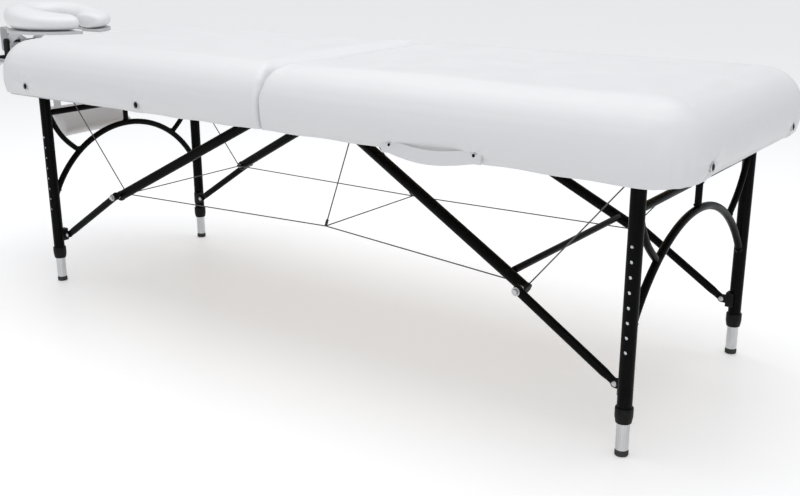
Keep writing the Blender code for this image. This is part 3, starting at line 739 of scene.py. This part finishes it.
def leg(end, side):
    name = f"{end}_{{}}_{side}".format
    x, y = centre(name("leg_tube"))[:2]
    out, base = SIDES[side], (x, y, 0)
    low, high = (corner.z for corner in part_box(name("leg_tube")))
    tube_piece = turned(name("outer_leg"), [
        (0, high), (LEG_R - 0.0016, high), (LEG_R - 0.0004, high - 0.0005), (LEG_R, high - 0.0018),
        (LEG_R, low + 0.0004), (LEG_R - 0.0004, low), (BORE_R, low), (BORE_R, high - 0.002),
        (0, high - 0.002)], base, sides=64)
    button = centre(name("button"))
    drills = [turned("drill", [(0, 0.006), (HOLE_R, 0.006), (HOLE_R, 0.020), (0, 0.020)],
                     (x, y, button[2] - i * HOLE_PITCH), (0, out, 0), 24) for i in range(HOLES)]
    carved(tube_piece, joined("drills", drills))
    ready(tube_piece, COAT, f"{end}_leg_frame", (name("leg_tube"),), 35)

    low, high = (corner.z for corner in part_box(name("leg_collar")))
    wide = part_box(name("leg_collar"))[1].x - x
    collar = turned(name("collar"), [
        (INNER_R + 0.0006, low), (wide - 0.0030, low), (wide - 0.0021, low + 0.0007),
        (wide - 0.0012, low + 0.006), (wide - 0.0003, low + 0.0105), (wide, low + 0.0135),
        (wide, high - 0.0020), (wide - 0.0005, high - 0.0006), (wide - 0.0015, high),
        (LEG_R + 0.0003, high), (LEG_R + 0.0003, high - 0.0063),
        (INNER_R + 0.0006, high - 0.0063), (INNER_R + 0.0006, low)], base, sides=64)
    ready(collar, NYLON, f"{end}_leg_frame", (name("leg_collar"),), 35)

    extension = f"{end}_leg_extension_{side}"
    low, high = (corner.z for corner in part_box(name("inner_leg")))
    inner = turned(name("silver_leg"), [(0, low), (INNER_R, low), (INNER_R, high - 0.002),
                                        (INNER_R - 0.002, high), (0, high)], base, sides=64)
    ready(inner, SILVER, extension, (name("inner_leg"),), 35)
    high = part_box(name("rubber_foot"))[1].z
    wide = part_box(name("rubber_foot"))[1].x - x
    foot = turned(name("foot_tip"), [
        (0, 0.0008), (0.0085, 0.0008), (0.0090, 0), (wide - 0.0016, 0), (wide - 0.0005, 0.0006),
        (wide, 0.0019), (wide, 0.0052), (wide - 0.0005, 0.0057), (wide - 0.0005, 0.0063), (wide, 0.0068),
        (wide, 0.0094), (wide - 0.0006, high - 0.0008), (wide - 0.0016, high), (0, high)], base, sides=64)
    ready(foot, RUBBER, extension, (name("rubber_foot"),), 35)

    tip = abs(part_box(name("button"))[0 if out < 0 else 1].y - y)
    bend = np.linspace(0, math.pi / 2, 7)
    dome = np.column_stack([0.0031 * np.cos(bend), tip - 0.0022 + 0.0022 * np.sin(bend)])
    knob = turned(name("spring_button"), [(0, 0.0052), (0.0031, 0.0052), *dome], (x, y, button[2]),
                  (0, out, 0), 32)
    ready(knob, STEEL, f"{end}_leg_button_{side}", (name("button"),))


for end in ENDS:
    for side in SIDES:
        leg(end, side)


# %% [markdown]
# ## The welded braces
#
# Between each pair of legs stand a cross tube, an arch, a short post and two curved struts, all welded. The
# bars are easy: one tube along each path. What makes them look welded is the small bead where they meet, so
# each joint gets a thin ring with a slightly uneven radius, like a run of weld.

# %% Braces and pivot tubes
BRACE_R, WEB_R, ARCH_SAG, WEB_SHARE = 0.008, 0.007, 0.152, 0.660
CROSS_Z, CROWN_Z, WEB_HIGH = 0.462, 0.400, 0.452


def bead(at, way, radius, thick=0.0016):
    """A weld bead: a ring whose thickness ripples, thick * (1 + 0.18 sin 17t), round a joint."""
    turn = np.linspace(0, 2 * math.pi, 72, endpoint=False)
    ring = np.linspace(0, 2 * math.pi, 12, endpoint=False)
    size = thick * (1 + 0.18 * np.sin(17 * turn))[:, None]
    reach = radius + size * np.cos(ring)[None]
    flat = np.stack([reach * np.cos(turn)[:, None], reach * np.sin(turn)[:, None],
                     size * np.sin(ring)[None]], axis=-1)
    spin = np.array(Vector((0, 0, 1)).rotation_difference(Vector(way)).to_matrix())
    return surface("bead", flat @ spin.T + np.asarray(at, float), lengthwise=True)


def brace(end):
    x = centre(f"{end}_leg_tube_near")[0]
    leg_y = centre(f"{end}_leg_tube_far")[1]
    half = leg_y - LEG_R + 0.003
    radius = (half ** 2 + ARCH_SAG ** 2) / (2 * ARCH_SAG)
    swing = np.linspace(-1, 1, 81) * (math.asin(half / radius) + 0.034)
    arch = np.column_stack([np.full(81, x), radius * np.sin(swing),
                            CROWN_Z - radius + radius * np.cos(swing)])
    bars = [tube("arch", arch, BRACE_R, sides=28),
            tube("cross", [(x, y, CROSS_Z) for y in np.linspace(-half, half, 5)], BRACE_R, sides=28),
            tube("post", [(x, 0, z) for z in np.linspace(CROWN_Z, CROSS_Z, 4)], WEB_R, sides=24)]
    beads = [bead((x, 0, CROWN_Z + BRACE_R + 0.0004), (0, 0, 1), WEB_R),
             bead((x, 0, CROSS_Z - BRACE_R - 0.0004), (0, 0, 1), WEB_R)]
    web_y = WEB_SHARE * (half + 0.001)
    web_low = CROWN_Z - radius + math.sqrt(radius ** 2 - web_y ** 2)
    t = np.linspace(0, 1, 25)
    for out in (-1, 1):
        bow = np.column_stack([np.full(25, x),
                               out * (half + (web_y - half) * t + 0.010 * np.sin(math.pi * t)),
                               WEB_HIGH + (web_low - WEB_HIGH) * t - 0.005 * np.sin(math.pi * t)])
        bow = np.vstack([bow[0] + (0, 0.004 * out, 0.010), bow])
        bars.append(tube("web", bow, WEB_R, sides=24))
        wall = out * (leg_y - LEG_R - 0.0006)
        beads.append(bead((x, wall, CROSS_Z), (0, 1, 0), BRACE_R))
        lean = arch[-1] - arch[-3]
        beads.append(bead((x, wall, arch[-3][2]), (0, out * lean[1], lean[2]), BRACE_R))
        beads.append(bead(bow[-2] + (0, 0, 0.002), bow[-1] - bow[-3], WEB_R))
    for one in bars:
        copes = [turned("cope", [(0, 0.05), (LEG_R - 0.0003, 0.05), (LEG_R - 0.0003, 0.6), (0, 0.6)],
                        (x, out * leg_y, 0), sides=48) for out in (-1, 1)]
        carved(one, joined("copes", copes))
    ready(joined(f"{end}_brace", bars), COAT, f"{end}_leg_frame", (f"{end}_leg_brace",))
    # No bead may reach through a leg's wall, where the silver leg slides.
    welds = joined(f"{end}_brace_welds", beads)
    points = points_of(welds)
    for out in (-1, 1):
        away = points[:, :2] - (x, out * leg_y)
        far = np.linalg.norm(away, axis=1, keepdims=True)
        points[:, :2] += away * np.maximum((LEG_R - 0.0008) / far - 1, 0)
    move_to(welds, points)
    ready(welds, COAT, f"{end}_leg_frame")
    low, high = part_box(f"{end}_pivot_tube")
    pivot = [(x, y, centre(f"{end}_pivot_tube")[2]) for y in np.linspace(low.y, high.y, 9)]
    ready(tube(f"{end}_pivot_bar", pivot, (high.z - low.z) / 2, sides=32), COAT, f"{end}_leg_frame",
          (f"{end}_pivot_tube",))
    return radius


print("arch radii", {end: round(float(brace(end)), 3) for end in ENDS})


# %% [markdown]
# ## The struts and their knees
#
# A strut is a round tube pressed flat at its pivot, drilled, and plugged with a plastic cap at the other
# end. Pressing a tube keeps its outline length, so it gets thinner one way and wider the other. The section
# is an oval whose two half-widths change along the strut, which is exactly what the tube helper takes.

# %% Struts
EYE_HALF, EYE_TALL, FLAT_LONG, SWELL, PIN_HOLE_R = 0.0030, 0.0085, 0.013, 0.030, 0.0037
STRUT_R = {"upper": 0.012, "lower": 0.009}


def far_end(node, pivot):
    """The middle of a strut's free end: the mean of the points that lie furthest from its pivot."""
    points = points_of(frame["nodes"][node])
    reach = np.linalg.norm(points - pivot, axis=1)
    end_points = np.unique(np.round(points[reach > reach.max() - 0.004], 5), axis=0)
    return (end_points.max(axis=0) + end_points.min(axis=0)) / 2


def strut(end, kind, side):
    node = f"{end}_{kind}_strut_{side}"
    pivot = np.array(joints[f"{end}_{kind}_strut_swing"]["pos_m"], float)
    points = points_of(frame["nodes"][node])
    eye = np.hypot(points[:, 0] - pivot[0], points[:, 2] - pivot[2]) < 0.008
    pivot[1] = (points[eye, 1].max() + points[eye, 1].min()) / 2
    tip = far_end(node, pivot)
    heading = (tip - pivot) / np.linalg.norm(tip - pivot)
    length = np.linalg.norm(tip - pivot)
    along = np.concatenate([np.linspace(-0.006, FLAT_LONG, 6), np.linspace(FLAT_LONG, SWELL, 12)[1:],
                            np.linspace(SWELL, length - 0.006, 24)[1:]])
    full = ease(along, FLAT_LONG * 0.8, SWELL)
    radius = STRUT_R[kind]
    rounded = np.sqrt(np.clip(1 - np.clip(-along / 0.0062, 0, 1) ** 2, 0.02, 1))
    half = np.column_stack([EYE_HALF + (radius - EYE_HALF) * full,
                            (EYE_TALL * rounded) * (1 - full) + radius * full])
    piece = tube(node + "_tube", pivot + along[:, None] * heading, half, side=(0, 1, 0), sides=36)
    drill = turned("drill", [(0, -0.02), (PIN_HOLE_R, -0.02), (PIN_HOLE_R, 0.02), (0, 0.02)], pivot,
                   (0, 1, 0), 24)
    carved(piece, drill)
    ready(piece, COAT, f"{end}_{kind}_struts", (node,))
    bend = np.linspace(0, math.pi / 2, 6)
    plug = [(0, -0.002), (radius + 0.0009, -0.002), (radius + 0.0009, 0.0040)]
    plug += list(np.column_stack([radius - 0.0011 + 0.0020 * np.cos(bend[1:]),
                                  0.0040 + 0.0020 * np.sin(bend[1:])]))
    cap = turned(node + "_cap", [*plug, (0, 0.0060)], tip - 0.006 * heading, heading, 36)
    ready(cap, NYLON, f"{end}_{kind}_struts")
    return tip, heading


TIPS = {(end, kind, side): strut(end, kind, side) for end in ENDS for kind in STRUT_R for side in SIDES}
print("longest strut tip", {end: np.round(TIPS[end, "upper", "near"][0], 3).tolist() for end in ENDS})


# %% Knee bolts, the crossbar and the strut brackets
PAST_KNEE, SHANK_R, WASHER_BORE = 0.009, 0.0032, 0.0034


def bolt(at, out, reach, head=0.0062):
    """A hexagon head, a flat washer, the shank and a domed lock nut, along y."""
    hexagon = turned("head", [(0, 0.0011), (head * 0.9, 0.0011), (head, 0.0017), (head, 0.0046),
                              (head * 0.86, 0.0056), (0, 0.0056)], at, (0, out, 0), 6)
    washer = turned("washer", [(WASHER_BORE, 0), (0.0086, 0), (0.0089, 0.0003), (0.0089, 0.0008),
                               (0.0086, 0.0011), (WASHER_BORE, 0.0011), (WASHER_BORE, 0)],
                    at, (0, out, 0), 40)
    shank = turned("shank", [(0, -reach), (SHANK_R, -reach), (SHANK_R, 0.001), (0, 0.001)], at,
                   (0, out, 0), 24)
    back = np.asarray(at, float) - (0, out * reach, 0)
    bend = np.linspace(0, math.pi / 2, 5)
    dome = np.column_stack([0.0050 * np.cos(bend), 0.0040 + 0.0022 * np.sin(bend)])
    nut = turned("nut", [(0, 0), (head * 0.95, 0), (head * 0.95, 0.0036), (0.0050, 0.0040), *dome], back,
                 (0, -out, 0), 12)
    return [hexagon, washer, shank, nut]


def knee_parts(end):
    """Each knee: a spacer between the two struts, and one bolt through both, with its head outside."""
    bolts, spacers = [], []
    for side, out in SIDES.items():
        upper, up = TIPS[end, "upper", side]
        lower = TIPS[end, "lower", side][0]
        at = upper - PAST_KNEE * up
        gap = abs(lower[1] - upper[1])
        y_out = out * (abs(lower[1]) + STRUT_R["lower"])
        bolts += bolt((at[0], y_out, at[2]), out, gap + STRUT_R["lower"] + STRUT_R["upper"])
        middle = out * (abs(lower[1]) - STRUT_R["lower"])
        wide = gap - STRUT_R["lower"] - STRUT_R["upper"]
        outline = [(WASHER_BORE, -0.0004), (0.0070, -0.0004), (0.0075, 0), (0.0075, wide),
                   (0.0070, wide + 0.0004), (WASHER_BORE, wide + 0.0004), (WASHER_BORE, -0.0004)]
        spacers.append(turned("spacer", outline, (at[0], middle, at[2]), (0, -out, 0), 32))
    ready(joined(f"{end}_knee_bolts", bolts), STEEL, f"{end}_upper_struts")
    ready(joined(f"{end}_knee_spacers", spacers), STEEL, f"{end}_upper_struts")
    return len(bolts)


def bracket_bolts(end):
    """Domed pin heads at each lower strut's pivot: one outside the strut and one on the inner face of its
    clevis.
    """
    heads = []
    for side, out in SIDES.items():
        pivot = np.array(joints[f"{end}_lower_strut_swing"]["pos_m"], float)
        low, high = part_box(f"{end}_strut_bracket_{side}")
        for y, way in ((low.y, -1), (high.y, 1)):
            y = y if (way == -out) else out * (abs(centre(f"{end}_lower_strut_{side}")[1]) + 0.0060)
            bend = np.linspace(0, math.pi / 2, 6)
            dome = np.column_stack([0.0058 * np.cos(bend), 0.0004 + 0.0026 * np.sin(bend)])
            heads.append(turned("rivet", [(0, -0.001), (0.0058, -0.001), *dome], (pivot[0], y, pivot[2]),
                                (0, way, 0), 28))
    return ready(joined(f"{end}_pivot_rivets", heads), STEEL, f"{end}_leg_frame")


for end in ENDS:
    knee_parts(end)
    bracket_bolts(end)
low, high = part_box("foot_crossbar")
bar = [(centre("foot_crossbar")[0], y, centre("foot_crossbar")[2]) for y in np.linspace(low.y, high.y, 9)]
ready(tube("crossbar_tube", bar, (high.z - low.z) / 2, sides=32), COAT, "foot_upper_struts",
      ("foot_crossbar",))
print("crossbar", round(high.y - low.y, 3), "m")


# %% [markdown]
# ## The cable truss
#
# Steel cables brace the legs: from under the hinge down to a joint on each side, out to the knees, and up to
# the leg pivots. Under load each one is straight, so a straight tube is right. When the table folds they go
# slack and drop into the bottom of the case. A rigid cable would stick out of the folded table; here each
# half of the truss is simply carried, straight, by its own panel.

# %% Cables
CABLE_R, FERRULE_R, FERRULE_LONG = 0.0014, 0.0034, 0.016
JUNCTION = (0.040, 0.172, 0.276)


def cable(start, finish):
    """One cable with its UV map in centimetres of length, so the strands have the same pitch everywhere."""
    start, finish = np.asarray(start, float), np.asarray(finish, float)
    count = max(int(np.linalg.norm(finish - start) / 0.02), 3)
    path = start + (finish - start) * np.linspace(0, 1, count)[:, None]
    side = (0, 0, 1) if abs(finish - start)[2] < 0.1 * np.linalg.norm(finish - start) else (1, 0, 0)
    piece = tube("cable", path, CABLE_R, side=side, sides=10, edge=0.0003)
    uv = piece.data.uv_layers[0].data
    values = np.empty(len(uv) * 2, np.float32)
    uv.foreach_get("uv", values)
    values = values.reshape(-1, 2) * (1, np.linalg.norm(finish - start) * 100)
    uv.foreach_set("uv", values.astype(np.float32).ravel())
    return piece


def ferrule(at, towards):
    """A crimped sleeve on a cable: a short barrel with two pressed rings."""
    way = np.asarray(towards, float) - np.asarray(at, float)
    way /= np.linalg.norm(way)
    half = FERRULE_LONG / 2
    height = np.linspace(-half, half, 25)
    radius = FERRULE_R - 0.0007 * np.exp(-((np.abs(height) - 0.003) / 0.0010) ** 2)
    radius = radius * np.sqrt(np.clip(1 - (np.abs(height) / half) ** 10, 0, 1))
    return turned("ferrule", np.column_stack([radius, height]), at, way, 24)


def knee_eye(end, side):
    """Where a cable is pinned at a knee, just inside the upper strut."""
    upper, up = TIPS[end, "upper", side]
    at = upper - PAST_KNEE * up
    at[1] = SIDES[side] * (abs(at[1]) - STRUT_R["upper"] - FERRULE_R - 0.0007)
    return at


def truss():
    cables, sleeves = {"foot": [], "head": []}, {"foot": [], "head": []}
    top = np.array([HINGE_X, 0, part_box("hinge_pin")[0].z - 0.0085])
    meets = {side: np.array([HINGE_X + JUNCTION[0], out * JUNCTION[1], JUNCTION[2]])
             for side, out in SIDES.items()}
    for end, sign in ENDS.items():
        eyes = {side: knee_eye(end, side) for side in SIDES}
        for side in SIDES:
            bar = centre(f"{end}_pivot_tube")
            stay = np.array([bar[0] - sign * 0.0105, eyes[side][1], bar[2] - 0.006])
            cables[end] += [cable(meets[side], eyes[side]), cable(eyes[side], stay)]
            sleeves[end] += [ferrule(eyes[side], meets[side]), ferrule(stay + (eyes[side] - stay) * 0.05,
                                                                       eyes[side])]
        if end == "head":
            cables[end].append(cable(eyes["near"], eyes["far"]))
    for side in SIDES:
        cables["foot"].append(cable(top, meets[side]))
        sleeves["foot"].append(ferrule(meets[side] + (top - meets[side]) * 0.03, top))
    cables["foot"].append(cable(meets["near"], meets["far"]))
    sleeves["foot"].append(ferrule(top, meets["near"]))
    for end in ENDS:
        lines = ready(joined(f"{end}_cables", cables[end]), ROPE, f"{end}_panel",
                      ("cable_truss",) if end == "foot" else ())
        crimps = ready(joined(f"{end}_cable_crimps", sleeves[end]), DARK, f"{end}_panel")
        for piece in (lines, crimps):
            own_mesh(piece)
    return sum(map(len, cables.values()))


print("cables", truss())


# %% [markdown]
# ## Castings, rails and plates
#
# The brackets, the hinge leaves, the rails and the cradle's mouldings already have their right shape in the
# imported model, but every edge there is knife-sharp, and no real edge is. We copy each one, merge its loose
# triangles, take flat neighbours together again, and round the edges with a small bevel, because a rounded
# edge catches a thin line of light.

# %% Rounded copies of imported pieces
def rounded_copy(node, name, finish, body, width, segments=2, sharp=32):
    bm = bmesh.new()
    bm.from_mesh(frame["nodes"][node].data)
    bmesh.ops.remove_doubles(bm, verts=bm.verts, dist=1e-5)
    bmesh.ops.dissolve_limit(bm, angle_limit=math.radians(1.5), verts=bm.verts, edges=bm.edges)
    mesh = bpy.data.meshes.new(name)
    bm.to_mesh(mesh)
    bm.free()
    piece = bpy.data.objects.new(name, mesh)
    bpy.context.scene.collection.objects.link(piece)
    bevel = piece.modifiers.new("soft_edges", "BEVEL")
    bevel.width = width
    bevel.segments = segments
    bevel.limit_method = "ANGLE"
    bevel.angle_limit = math.radians(35)
    bevel.use_clamp_overlap = True
    settled(piece)
    return ready(piece, finish, body, (node,), sharp)


for end in ENDS:
    for side in SIDES:
        rounded_copy(f"{end}_strut_bracket_{side}", f"{end}_clevis_{side}", NYLON, f"{end}_leg_frame",
                     0.0006)
    rounded_copy(f"{end}_frame", f"{end}_rails", RAIL, f"{end}_panel", 0.0008)
    rounded_copy(f"{end}_board", f"{end}_deck", BIRCH, f"{end}_panel", 0.0006)
    rounded_copy(f"hinge_leaf_{end}", f"{end}_hinge_leaf", STEEL, f"{end}_panel",
                 0.00025, 1)
low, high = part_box("hinge_pin")
pin = [(HINGE_X, y, centre("hinge_pin")[2]) for y in np.linspace(low.y, high.y, 5)]
ready(tube("hinge_rod", pin, (high.z - low.z) / 2, sides=24, edge=0.0005), STEEL, "foot_panel",
      ("hinge_pin",))
rounded_copy("cradle_yoke", "cradle_beam", NYLON, "cradle_base", 0.0014, 3)
rounded_copy("cradle_platform", "cradle_tray", PALE_GREY, "cradle_head", 0.0016, 3)
rounded_copy("cradle_lever", "tilt_lever", GREY, "cradle_lever", 0.0035, 4)
rounded = [bpy.data.objects[name] for name in ("foot_rails", "head_rails", "cradle_tray")]
print("rails and tray", sum(len(piece.data.polygons) for piece in rounded), "faces")


# %% [markdown]
# ## The face cradle
#
# The cradle's cushion is a horseshoe of foam in the same white cover. It is the small copy of the pads, so
# it is made the same way: a swept shape, an even skin, a short simulation. It stands on a moulded tray at
# the end of two steel posts, which slide into the head rail.

# %% The face cushion
CRADLE_HOLE = (0.068, 0.050)
SLOT_HALF, ROUND_END = 0.020, 0.20
FACE_VOXEL, FACE_SWELL, OUTER_TALL, TAPER = 0.005, 0.005, 1.16, 0.50
ARM_VOXEL, ARM_SWELL = 0.004, 0.0035


def face_cushion():
    """A fat ring in plan: the section is |u|^2.6 + |v|^2.6 = 1, u from the face hole to the outside and v
    from the tray to the top. It is swept round an oval, open towards the table, and its ends are rounded.
    Its height then falls towards the table."""
    low, high = (np.array(corner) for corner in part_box("face_cushion"))
    middle, half = (low + high) / 2, (high - low) / 2 - SHRINK
    mean = np.array([(half[0] + CRADLE_HOLE[0]) / 2, (half[1] + CRADLE_HOLE[1]) / 2])
    wide = np.array([(half[0] - CRADLE_HOLE[0]) / 2, (half[1] - CRADLE_HOLE[1]) / 2])
    start = math.asin(SLOT_HALF / mean[1])
    around = np.linspace(start, 2 * math.pi - start, 121)
    close = np.clip(1 - np.minimum(around - start, 2 * math.pi - start - around) / ROUND_END, 0, 1)
    size = (1 - close ** 2.4) ** (1 / 2.4)
    turn = np.linspace(0, 2 * math.pi, 48, endpoint=False)
    u = np.sign(np.cos(turn)) * np.abs(np.cos(turn)) ** (2 / 2.6)
    v = np.sign(np.sin(turn)) * np.abs(np.sin(turn)) ** (2 / 2.6)
    reach_x = mean[0] + wide[0] * u[None] * size[:, None]
    reach_y = mean[1] + wide[1] * u[None] * size[:, None]
    grid = np.stack([middle[0] + reach_x * np.cos(around)[:, None], reach_y * np.sin(around)[:, None],
                     middle[2] + half[2] * v[None] * size[:, None]], axis=-1)
    piece = remeshed(surface("face_pad", grid), FACE_VOXEL)
    blown_up(piece, FACE_SWELL)
    points = points_of(piece)
    fall = OUTER_TALL - TAPER * ease(points[:, 0], low[0], high[0])
    points[:, 2] = np.maximum(low[2] + (points[:, 2] - low[2]) * fall, low[2] + 0.0002)
    move_to(piece, points)
    ready(piece, LEATHER, "cradle_head", ("face_cushion",))
    return piece


def arm_rest():
    """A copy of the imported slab, its points merged, given an even skin and blown up a little."""
    piece = bpy.data.objects.new("arm_pad", frame["nodes"]["arm_rest_pad"].data.copy())
    bpy.context.scene.collection.objects.link(piece)
    bm = bmesh.new()
    bm.from_mesh(piece.data)
    bmesh.ops.remove_doubles(bm, verts=bm.verts, dist=1e-5)
    bm.to_mesh(piece.data)
    bm.free()
    remeshed(piece, ARM_VOXEL)
    blown_up(piece, ARM_SWELL)
    ready(piece, LEATHER, "arm_rest", ("arm_rest_pad",))
    return piece


face_cushion()
arm_rest()

# %% Posts, straps and their buckles
for side, out in SIDES.items():
    low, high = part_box(f"cradle_post_{side}")
    middle, radius = centre(f"cradle_post_{side}"), (high.z - low.z) / 2
    line = [(x, middle[1], middle[2]) for x in np.linspace(low.x, high.x, 9)]
    post = tube(f"post_{side}", line, radius, side=(0, 1, 0), sides=40)
    ready(post, SILVER, "cradle_base", (f"cradle_post_{side}",))
    low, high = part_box(f"arm_rest_strap_{side}")
    x, y = centre(f"arm_rest_strap_{side}")[:2]
    loop, thick = radius + 0.0017, 0.0020
    bend = np.linspace(-0.42 * math.pi, 1.42 * math.pi, 41)
    ring = np.column_stack([x + loop * np.cos(bend), np.full(41, y), middle[2] + loop * np.sin(bend)])
    down = np.linspace(ring[-1][2] - 0.006, low.z + 0.001, 20)
    back = np.linspace(ring[-1][2] - 0.030, ring[0][2] - 0.006, 6)
    path = np.concatenate([np.column_stack([np.full(6, x + 0.0022), np.full(6, y), back]), ring,
                           np.column_stack([np.full(20, x), np.full(20, y), down])])
    strap = band(f"arm_strap_{side}", path, (0, 1, 0), high.y - low.y, thick * 0.8)
    ready(strap, BAND, "arm_rest", (f"arm_rest_strap_{side}",))
    short = [(x + 0.0011, y, z) for z in np.linspace(down[0] - 0.030, down[0] - 0.014, 5)]
    slide = band(f"strap_slide_{side}", short, (0, 1, 0), high.y - low.y + 0.007, 0.0085)
    ready(slide, NYLON, "arm_rest")
print("posts", round(high.z - low.z, 3), "m of strap below each")


# %% [markdown]
# ## Camera, floor and light
#
# The table stands in a white studio: a wide pale floor, two big soft boxes and a bright room around it. A
# curved backdrop would hide the horizon too, but it would stand in the way when the table is seen from
# behind. The camera stands off the foot end of the near side, a little above the pads.

# %% The studio
def studio_floor():
    """A very wide round sheet of paper: rings of growing radius, just under the feet. It glows faintly, so
    that it stays nearly white far from the lamps."""
    radius = np.array([0.0, 1.0, 3.0, 8.0, 20.0, 45.0])
    turn = np.linspace(0, 2 * math.pi, 64, endpoint=False)
    grid = np.stack([radius[:, None] * np.cos(turn), radius[:, None] * np.sin(turn),
                     np.full((len(radius), len(turn)), -0.0004)], axis=-1)
    floor = surface("studio_floor", grid)
    paper = Finish("studio_paper", (0.86, 0.86, 0.865), 0.42, specular=0.35)
    paper.tinted(paper.noise(1.2), (0.85, 0.85, 0.856))
    paper.set("Emission Color", (1.0, 1.0, 1.0, 1.0))
    paper.set("Emission Strength", 0.30)
    floor.data.materials.append(paper.material)
    floor.data.shade_smooth()


def soft_box(name, at, towards, size, power):
    light = bpy.data.lights.new(name, "AREA")
    light.shape = "RECTANGLE"
    light.size, light.size_y = size
    light.energy = power
    lamp = bpy.data.objects.new(name, light)
    bpy.context.scene.collection.objects.link(lamp)
    lamp.location = at
    lamp.rotation_euler = (Vector(towards) - Vector(at)).to_track_quat("-Z", "Y").to_euler()


studio_floor()
soft_box("top_light", (0.0, 0.2, 3.4), (0.0, 0.0, 0.3), (4.5, 3.0), 62)
soft_box("front_light", (2.6, -3.6, 2.0), (0.0, 0.0, 0.4), (2.5, 2.0), 22)
world = bpy.data.worlds.new("studio_air")
world.use_nodes = True
world.node_tree.nodes["Background"].inputs["Color"].default_value = (0.95, 0.97, 1.0, 1.0)
world.node_tree.nodes["Background"].inputs["Strength"].default_value = 0.60
bpy.context.scene.world = world
bpy.context.scene.view_settings.view_transform = "Standard"

# %% The camera
YAW, PITCH, ROLL = 0.626, 0.2959, -0.0025
lens = bpy.data.cameras.new("camera")
lens.lens, lens.sensor_width = 46.55, 36.0
camera = bpy.data.objects.new("camera", lens)
bpy.context.scene.collection.objects.link(camera)
camera.location = (1.7298, -1.9097, 0.9141)
turn = Euler((math.pi / 2 - PITCH, 0, YAW)).to_matrix() @ Matrix.Rotation(ROLL, 3, "Z")
camera.rotation_euler = turn.to_euler()
bpy.context.scene.camera = camera
